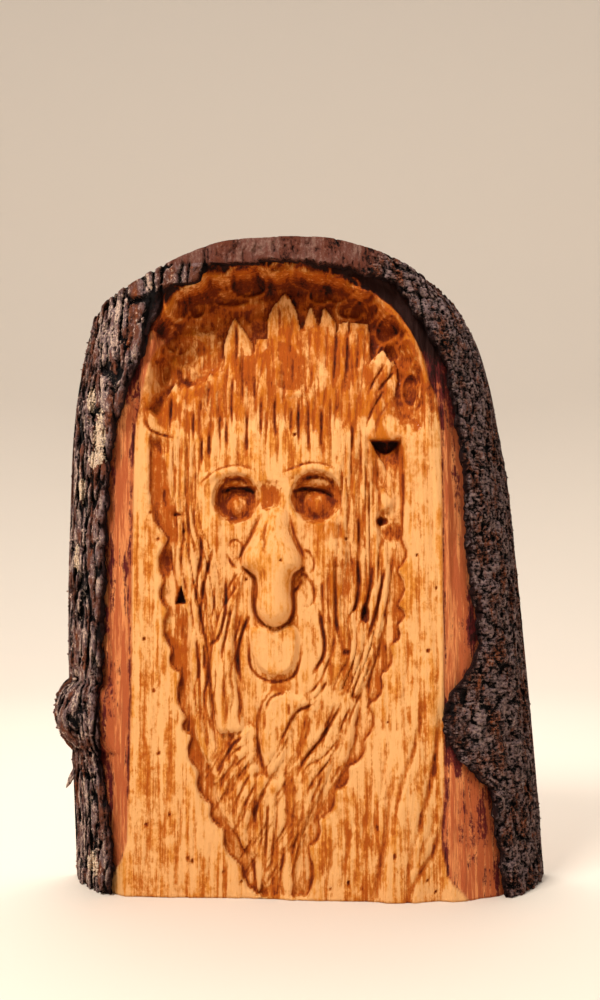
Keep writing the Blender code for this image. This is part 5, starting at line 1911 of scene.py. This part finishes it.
class Shades:
    """Builder of one material's node tree."""

    def __init__(self, name: str) -> None:
        """Start a material with a bare Principled shader.

        Args:
            name: The material's name.
        """
        self.material = bpy.data.materials.new(name)
        self.material.use_nodes = True
        self.tree = self.material.node_tree
        self.shader = self.tree.nodes["Principled BSDF"]

    def feed(self, socket: Any, value: Any) -> None:
        """Link a socket to a wrapped one, or set its value.

        Args:
            socket: The input to feed.
            value: A wrapped socket or a plain value.
        """
        if isinstance(value, Number):
            self.tree.links.new(value.socket, socket)
        else:
            socket.default_value = value

    def node(self, kind: str, settings: dict[str, Any], inputs: dict[Any, Any], output: Any = 0) -> Number:
        """Add one node.

        Args:
            kind: The node's type.
            settings: Its settings, set before its sockets.
            inputs: Values or links of its sockets, by name or number.
            output: Which output to return, by name or number.

        Returns:
            The wrapped output.
        """
        made = self.tree.nodes.new(kind)
        for key, value in settings.items():
            setattr(made, key, value)
        for key, value in inputs.items():
            self.feed(made.inputs[key], value)
        return Number(self, made.outputs[output])

    def maths(self, operation: str, *values: Any) -> Number:
        """One Math node."""
        return self.node("ShaderNodeMath", {"operation": operation}, dict(enumerate(values)))

    def mix(self, share: Any, first: Any, second: Any, blend: str = "MIX") -> Number:
        """Mix of two colours."""
        settings = {"data_type": "RGBA", "blend_type": blend}
        return self.node("ShaderNodeMix", settings, {0: share, 6: first, 7: second}, 2)

    def attribute(self, name: str) -> Number:
        """One of the piece's own numbers."""
        return self.node("ShaderNodeAttribute", {"attribute_name": name}, {}, "Fac")

    def noise(self, stretch: Place, detail: float = 3.0, rough: float = 0.55,
              shift: float = 0.0) -> Number:
        """Noise over the object, with its cells per metre along x, y and z.

        Args:
            stretch: Cells per metre along each axis.
            detail: Its layers.
            rough: How strong the finer layers are.
            shift: Where it is read.

        Returns:
            The noise, between 0 and 1.
        """
        coords = self.node("ShaderNodeTexCoord", {}, {}, "Object")
        place = self.node("ShaderNodeMapping", {}, {"Vector": coords, "Scale": stretch,
                                                    "Location": (shift, shift * 0.7, shift * 1.3)})
        sockets = {"Vector": place, "Scale": 1.0, "Detail": detail, "Roughness": rough}
        return self.node("ShaderNodeTexNoise", {}, sockets)

    def bump(self, height: Number, strength: float, distance: float) -> Number:
        """Normal of a bumped surface."""
        return self.node("ShaderNodeBump", {}, {"Strength": strength, "Distance": distance, "Height": height})

    def finish(self, colour: Number, roughness: Any, normal: Number | None = None, coat: float = 0.0,
               gloss: float = 0.5) -> Any:
        """Feed the shader and return the material.

        Args:
            colour: Base colour.
            roughness: Roughness.
            normal: Bumped normal.
            coat: Weight of the coat.
            gloss: Strength of the reflection.

        Returns:
            The material.
        """
        self.feed(self.shader.inputs["Base Color"], colour)
        self.feed(self.shader.inputs["Roughness"], roughness)
        if normal is not None:
            self.feed(self.shader.inputs["Normal"], normal)
        self.shader.inputs["Coat Weight"].default_value = coat
        self.shader.inputs["Specular IOR Level"].default_value = gloss
        return self.material


@dataclass(frozen=True)
class VarnishedWood:
    """Stained and varnished softwood: red brown cuts, pale ridges, painted shade in hollows and highlight on
    ridges.
    """

    peach: Colour = (0.89, 0.445, 0.158, 1)
    honey: Colour = (0.79, 0.300, 0.042, 1)
    amber: Colour = (0.56, 0.145, 0.005, 1)
    orange: Colour = (0.43, 0.082, 0.003, 1)
    brown: Colour = (0.17, 0.021, 0.001, 1)
    # Near black of the darkest marks: painted shadow in slits, holes, the notch and under the rim.
    shadow_black: Colour = (0.020, 0.004, 0.002, 1)
    tan: Colour = (0.72, 0.50, 0.24, 1)
    inner_bark: Colour = (0.47, 0.105, 0.030, 1)
    inner_light: Colour = (0.78, 0.275, 0.088, 1)
    inner_dark: Colour = (0.115, 0.010, 0.009, 1)
    ring_width: float = 0.0048
    pith: Point = (0.01, 0.075)
    back_from: Point = (0.0470, 0.0483)
    gloss: float = 0.14
    coat: float = 0.02

    def make(self) -> Any:
        """Build the material.

        Returns:
            The material.
        """
        s = Shades("varnished_carved_wood")
        stain_and_shade, amber, red = s.attribute("stain_and_shade"), s.attribute("amber"), s.attribute("red")
        broad_shading, fine = s.attribute("broad_shading"), s.attribute("fine")
        fibre = s.noise((640, 640, 60), 5.0, 0.7) - 0.5
        streak = s.noise((190, 190, 14), 4.0, 0.6, 3.1) - 0.5
        cloud = s.noise((58, 58, 44), 5.0, 0.66, 7.7) - 0.5
        fleck = s.noise((430, 430, 330), 5.0, 0.8, 1.9) - 0.5
        blot = s.noise((170, 170, 120), 4.0, 0.7, 9.3) - 0.5
        grain = s.noise((420, 420, 11), 4.0, 0.6, 6.1) - 0.5
        worn = fleck * 0.55 + fibre * 0.75 + streak * 0.9 + grain * 0.9 + cloud * 0.6 + blot * 0.45
        dark = stain_and_shade * (1 + fleck * 1.3 + blot * 0.9) + worn + self.rings(s) * 0.02 + 0.08
        # Darker in hollows and paler on ridges: painted shade and painted highlight from the relief's
        # curvature.
        dark = dark - fine * 0.22 - broad_shading * 0.26
        end = s.attribute("end") * (1 - self.along(s, "Y").ramp(*self.back_from))
        ringed = self.rings(s) * 0.12 + fleck * 0.5 + cloud * 0.6 + 0.24
        dark = dark + (ringed - dark) * end
        honeyed = cloud * 1.6 + (streak * 1.4 + grain * 1.2 + blot * 0.8) * (1 - end) + fleck * 0.4
        colour = s.mix(honeyed.ramp(-0.14, 0.30), self.peach, self.honey)
        warmth = amber + cloud * 1.8 + streak * 1.8 + grain * 1.2 + blot * 1.6 + fleck * 0.6 + 0.02
        warm = warmth.ramp(0.05, 1.05)
        warm = warm + ((cloud * 1.6 + 0.42).ramp(0.0, 1.0) - warm) * end
        colour = s.mix(warm, colour, self.amber)
        colour = s.mix(dark.ramp(0.04, 0.36), colour, self.tan, "MULTIPLY")
        colour = s.mix(dark.ramp(0.28, 0.62), colour, self.orange)
        colour = s.mix(dark.ramp(0.52, 0.92), colour, self.brown)
        colour = s.mix(dark.ramp(1.00, 1.40), colour, self.shadow_black)
        lines = (streak * 2.4 + grain * 1.8 + fibre * 1.6).ramp(-0.16, 0.34)
        reddish = s.mix(lines, self.inner_bark, self.inner_light)
        reddened = dark + cloud + fibre * 0.8 + streak * 0.9
        reddish = s.mix(reddened.ramp(0.16, 0.52), reddish, self.inner_dark)
        reddish = s.mix(reddened.ramp(0.62, 1.10), reddish, self.shadow_black)
        colour = s.mix(red, colour, reddish)
        normal = s.bump(fibre * 0.8 + fleck * 0.8 + streak * 0.3 + blot * 0.3, 0.8, 0.0022)
        roughness = 0.46 + dark.ramp(0.2, 0.9) * 0.2
        return s.finish(colour, roughness, normal, self.coat, self.gloss)

    def along(self, s: Shades, axis: str) -> Number:
        """Place on the log along one axis, in metres."""
        coords = s.node("ShaderNodeTexCoord", {}, {}, "Object")
        return s.node("ShaderNodeSeparateXYZ", {}, {"Vector": coords}, axis)

    def rings(self, s: Shades) -> Number:
        """Growth rings round a pith behind the log's back.

        Args:
            s: The material's builder.

        Returns:
            A wave between -1 and 1.
        """
        x, y = self.along(s, "X"), self.along(s, "Y")
        wobble = s.noise((9, 9, 3.2), 2.0, 0.5, 5.0)
        away = ((x - self.pith[0]) ** 2 + (y - self.pith[1]) ** 2) ** 0.5
        return ((away + wobble * 0.022) * (2 * math.pi / self.ring_width)).sum_with("SINE")


@dataclass(frozen=True)
class RoughBark:
    """Conifer bark: black cracks, red brown plates with lilac grey faces and pale worn specks."""

    # Near black of the deep cracks: partly their own dark, partly painted shade in them.
    shadow_black: Colour = (0.004, 0.002, 0.002, 1)
    brown: Colour = (0.170, 0.052, 0.027, 1)
    lilac: Colour = (0.240, 0.150, 0.145, 1)
    cream: Colour = (0.78, 0.54, 0.40, 1)
    grey: Colour = (0.40, 0.27, 0.22, 1)
    rust: Colour = (0.32, 0.075, 0.018, 1)
    top_brown: Colour = (0.150, 0.036, 0.018, 1)
    top_lilac: Colour = (0.200, 0.070, 0.046, 1)
    # Near black of the bark's inner edge: painted shade under its lip.
    inner: Colour = (0.020, 0.004, 0.003, 1)
    roughness: float = 0.8
    gloss: float = 0.15

    def make(self) -> Any:
        """Build the material.

        Returns:
            The material.
        """
        s = Shades("rough_bark")
        crack, kind, inward = s.attribute("crack"), s.attribute("kind"), s.attribute("inward")
        right = (kind - 1).ramp(0.05, 0.6)
        top = 1 - (kind - 1).sum_with("ABSOLUTE").ramp(0.25, 0.85)
        patch = s.noise((70, 70, 34), 4.0, 0.65, 2.2) - 0.5
        grit = s.noise((520, 520, 420), 5.0, 0.8, 4.1) - 0.5
        shred = s.noise((300, 300, 60), 5.0, 0.7, 6.3) - 0.5
        dash = s.noise((260, 260, 640), 4.0, 0.72, 8.4) - 0.5
        plate = s.mix((patch + grit * 0.5).ramp(-0.10, 0.06), self.brown, self.lilac)
        smooth_top = s.mix((patch + shred * 0.8).ramp(-0.14, 0.16), self.top_brown, self.top_lilac)
        colour = s.mix(top * 0.9, plate, smooth_top)
        rusty = (patch * -1 + shred * 1.2 + grit * 0.6 + right * 0.08).ramp(0.14, 0.26) * (0.8 - top * 0.6)
        colour = s.mix(rusty, colour, self.rust)
        left_light = (grit * 1.3 + shred * 0.9 + patch * 0.8 - crack * 0.10 - 0.03).ramp(0.02, 0.13)
        right_light = (dash * 1.5 + grit * 1.2 + patch * 0.4 - 0.05).ramp(0.02, 0.18) * 0.9
        colour = s.mix(left_light * (1 - right) * (1 - top * 0.85), colour, self.cream)
        colour = s.mix(right_light * right, colour, self.grey)
        # Black where the cracks are deep: partly the fissures' own dark, partly painted shade in them.
        pits = crack * (0.52 - right * 0.16) - grit * 1.3 - shred * (0.9 - right * 0.5) - dash * right * 1.5
        pits = pits + right * 0.10 - top * 0.05 - patch * (top + right * 0.4) * 1.1
        colour = s.mix(pits.ramp(0.14, 0.30), colour, self.shadow_black)
        # Near black band along the bark's inner edge: painted shade under its lip.
        edge = (inward + shred * 0.4 + grit * 0.3).ramp(0.93, 1.0)
        colour = s.mix(edge, colour, self.inner)
        normal = s.bump(grit + shred * 0.8 + dash * right * 0.8 - pits.ramp(0.12, 0.3) * 0.3, 1.0, 0.0030)
        return s.finish(colour, self.roughness, normal, gloss=self.gloss)


@dataclass(frozen=True)
class LichenCrust:
    """Pale yellow grey lichen."""

    pale: Colour = (0.78, 0.57, 0.37, 1)
    grey: Colour = (0.42, 0.31, 0.23, 1)

    def make(self) -> Any:
        """Build the material.

        Returns:
            The material.
        """
        s = Shades("lichen_crust")
        speck = s.noise((900, 900, 900), 3.0, 0.6, 1.1)
        return s.finish(s.mix(speck.ramp(0.4, 0.6), self.pale, self.grey), 0.95)


@dataclass(frozen=True)
class PaleFloor:
    """Matt pale studio floor."""

    colour: Colour = (0.72, 0.62, 0.51, 1)
    shaded: Colour = (0.66, 0.56, 0.46, 1)

    def make(self) -> Any:
        """Build the material.

        Returns:
            The material.
        """
        s = Shades("studio_floor")
        tone = s.noise((3, 3, 3), 2.0)
        colour = s.mix(tone * 0.06, self.colour, self.shaded)
        return s.finish(colour, 0.9)


@dataclass(frozen=True)
class SoftLight:
    """Square area light that looks at one point."""

    name: str
    at: Place
    size: float
    power: float
    colour: Place = (1.0, 1.0, 1.0)
    aim: Place = (0.0, 0.0, 0.25)

    def hang(self) -> None:
        """Add the light to the scene."""
        data = bpy.data.lights.new(self.name, "AREA")
        data.size = self.size
        data.energy = self.power
        data.color = self.colour
        lamp = bpy.data.objects.new(self.name, data)
        lamp.location = self.at
        lamp.rotation_euler = (Vector(self.aim) - lamp.location).to_track_quat("-Z", "Y").to_euler()
        bpy.context.scene.collection.objects.link(lamp)


@dataclass(frozen=True)
class Studio:
    """Pale floor that curves up behind, soft lights, and a camera where the photograph was taken."""

    lens_mm: float = 42.9
    camera_at: Place = (0.001, -0.9085, 0.236)
    pitch_deg: float = 3.55
    flat_radius: float = 1.5
    floor_radius: float = 3.4
    floor_turns: int = 96
    floor_gap: float = 0.0002
    rise: float = 2.4
    lights: tuple = (SoftLight("key", (-0.62, -0.95, 1.55), 0.5, 34.0, (1.0, 0.97, 0.93)),
                     SoftLight("fill", (1.2, -1.5, 0.6), 1.6, 6.0, (1.0, 0.96, 0.92)),
                     SoftLight("wash", (0.0, 1.1, 1.9), 1.6, 30.0, (1.0, 0.98, 0.95)),
                     SoftLight("backdrop", (0.0, 0.5, 2.6), 2.2, 34.0, aim=(0.0, 3.0, 0.9)))
    sky: Colour = (0.92, 0.94, 1.0, 1)
    sky_strength: float = 0.38

    def floor(self) -> bpy.types.Object:
        """Dish-shaped floor under and round the log.

        Returns:
            The floor.
        """
        turns = self.floor_turns
        flat, bend = self.flat_radius, self.floor_radius
        radii = np.concatenate([np.linspace(0.0, flat, 6)[1:], np.linspace(flat, bend, 14)[1:]])
        out = (radii - flat) / (bend - flat)
        heights = np.where(radii > flat, self.rise * (1 - np.sqrt(np.clip(1 - out**2, 0, 1))), 0.0)
        angle = np.linspace(0, 2 * np.pi, turns, endpoint=False)
        ring = [np.stack([r * np.cos(angle), r * np.sin(angle), np.full(turns, z)], -1)
                for r, z in zip(radii, heights)]
        places = np.vstack([[[0.0, 0.0, 0.0]], *ring])
        places[:, 2] -= self.floor_gap
        faces = [[0, 1 + k, 1 + (k + 1) % turns] for k in range(turns)]
        for i in range(len(radii) - 1):
            a, b = 1 + i * turns, 1 + (i + 1) * turns
            faces += [[a + k, b + k, b + (k + 1) % turns, a + (k + 1) % turns] for k in range(turns)]
        return mesh_object("studio_floor", places, faces, len(faces))

    def build(self) -> None:
        """Set up floor, lights, world and camera."""
        floor = self.floor()
        floor.data.materials.append(PaleFloor().make())
        for light in self.lights:
            light.hang()
        world = bpy.data.worlds.new("studio")
        world.use_nodes = True
        background = world.node_tree.nodes["Background"]
        background.inputs["Color"].default_value = self.sky
        background.inputs["Strength"].default_value = self.sky_strength
        bpy.context.scene.world = world
        data = bpy.data.cameras.new("camera")
        data.lens = self.lens_mm
        camera = bpy.data.objects.new("camera", data)
        camera.location = self.camera_at
        camera.rotation_euler = (math.radians(90 + self.pitch_deg), 0, 0)
        bpy.context.scene.collection.objects.link(camera)
        bpy.context.scene.camera = camera
        bpy.context.scene.view_settings.view_transform = "Standard"


def stand_in(piece: bpy.types.Object, material: Any = None) -> None:
    """Dress a piece and let it stand for the log's solid.

    Args:
        piece: The finished mesh.
        material: Its finish, where it has none yet.
    """
    if material is not None:
        piece.data.materials.append(material)
    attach(piece, BODY)
    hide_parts(NODE)
    LOG.info("%s: %d faces", piece.name, len(piece.data.polygons))


def main() -> None:
    """Build the studio and every piece of the carving."""
    logging.basicConfig(level=logging.INFO, format="%(name)s: %(message)s")
    Studio().build()
    drawing, log = Drawing(), Log()
    stand_in(CarvedWood(drawing, log).build(), VarnishedWood().make())
    bark, bark_finish = Bark(drawing, log).build(), RoughBark().make()
    stand_in(bark, bark_finish)
    for piece in BranchStub(drawing).build():
        stand_in(piece, bark_finish)
    scales = Scatter("bark_scales", mask="flaky", density=60000.0, least=(0.0007, 0.0004, 0.00025),
                     most=(0.0024, 0.0014, 0.0007), seed=5)
    stand_in(scales.strew(bark, bark_finish))
    crust = Scatter("lichen", mask="crust", density=900000.0, least=(0.0004, 0.0004, 0.0003),
                    most=(0.0013, 0.0013, 0.0007), seed=9, roundness=1)
    stand_in(crust.strew(bark, LichenCrust().make()))


if __name__ == "__main__":
    main()
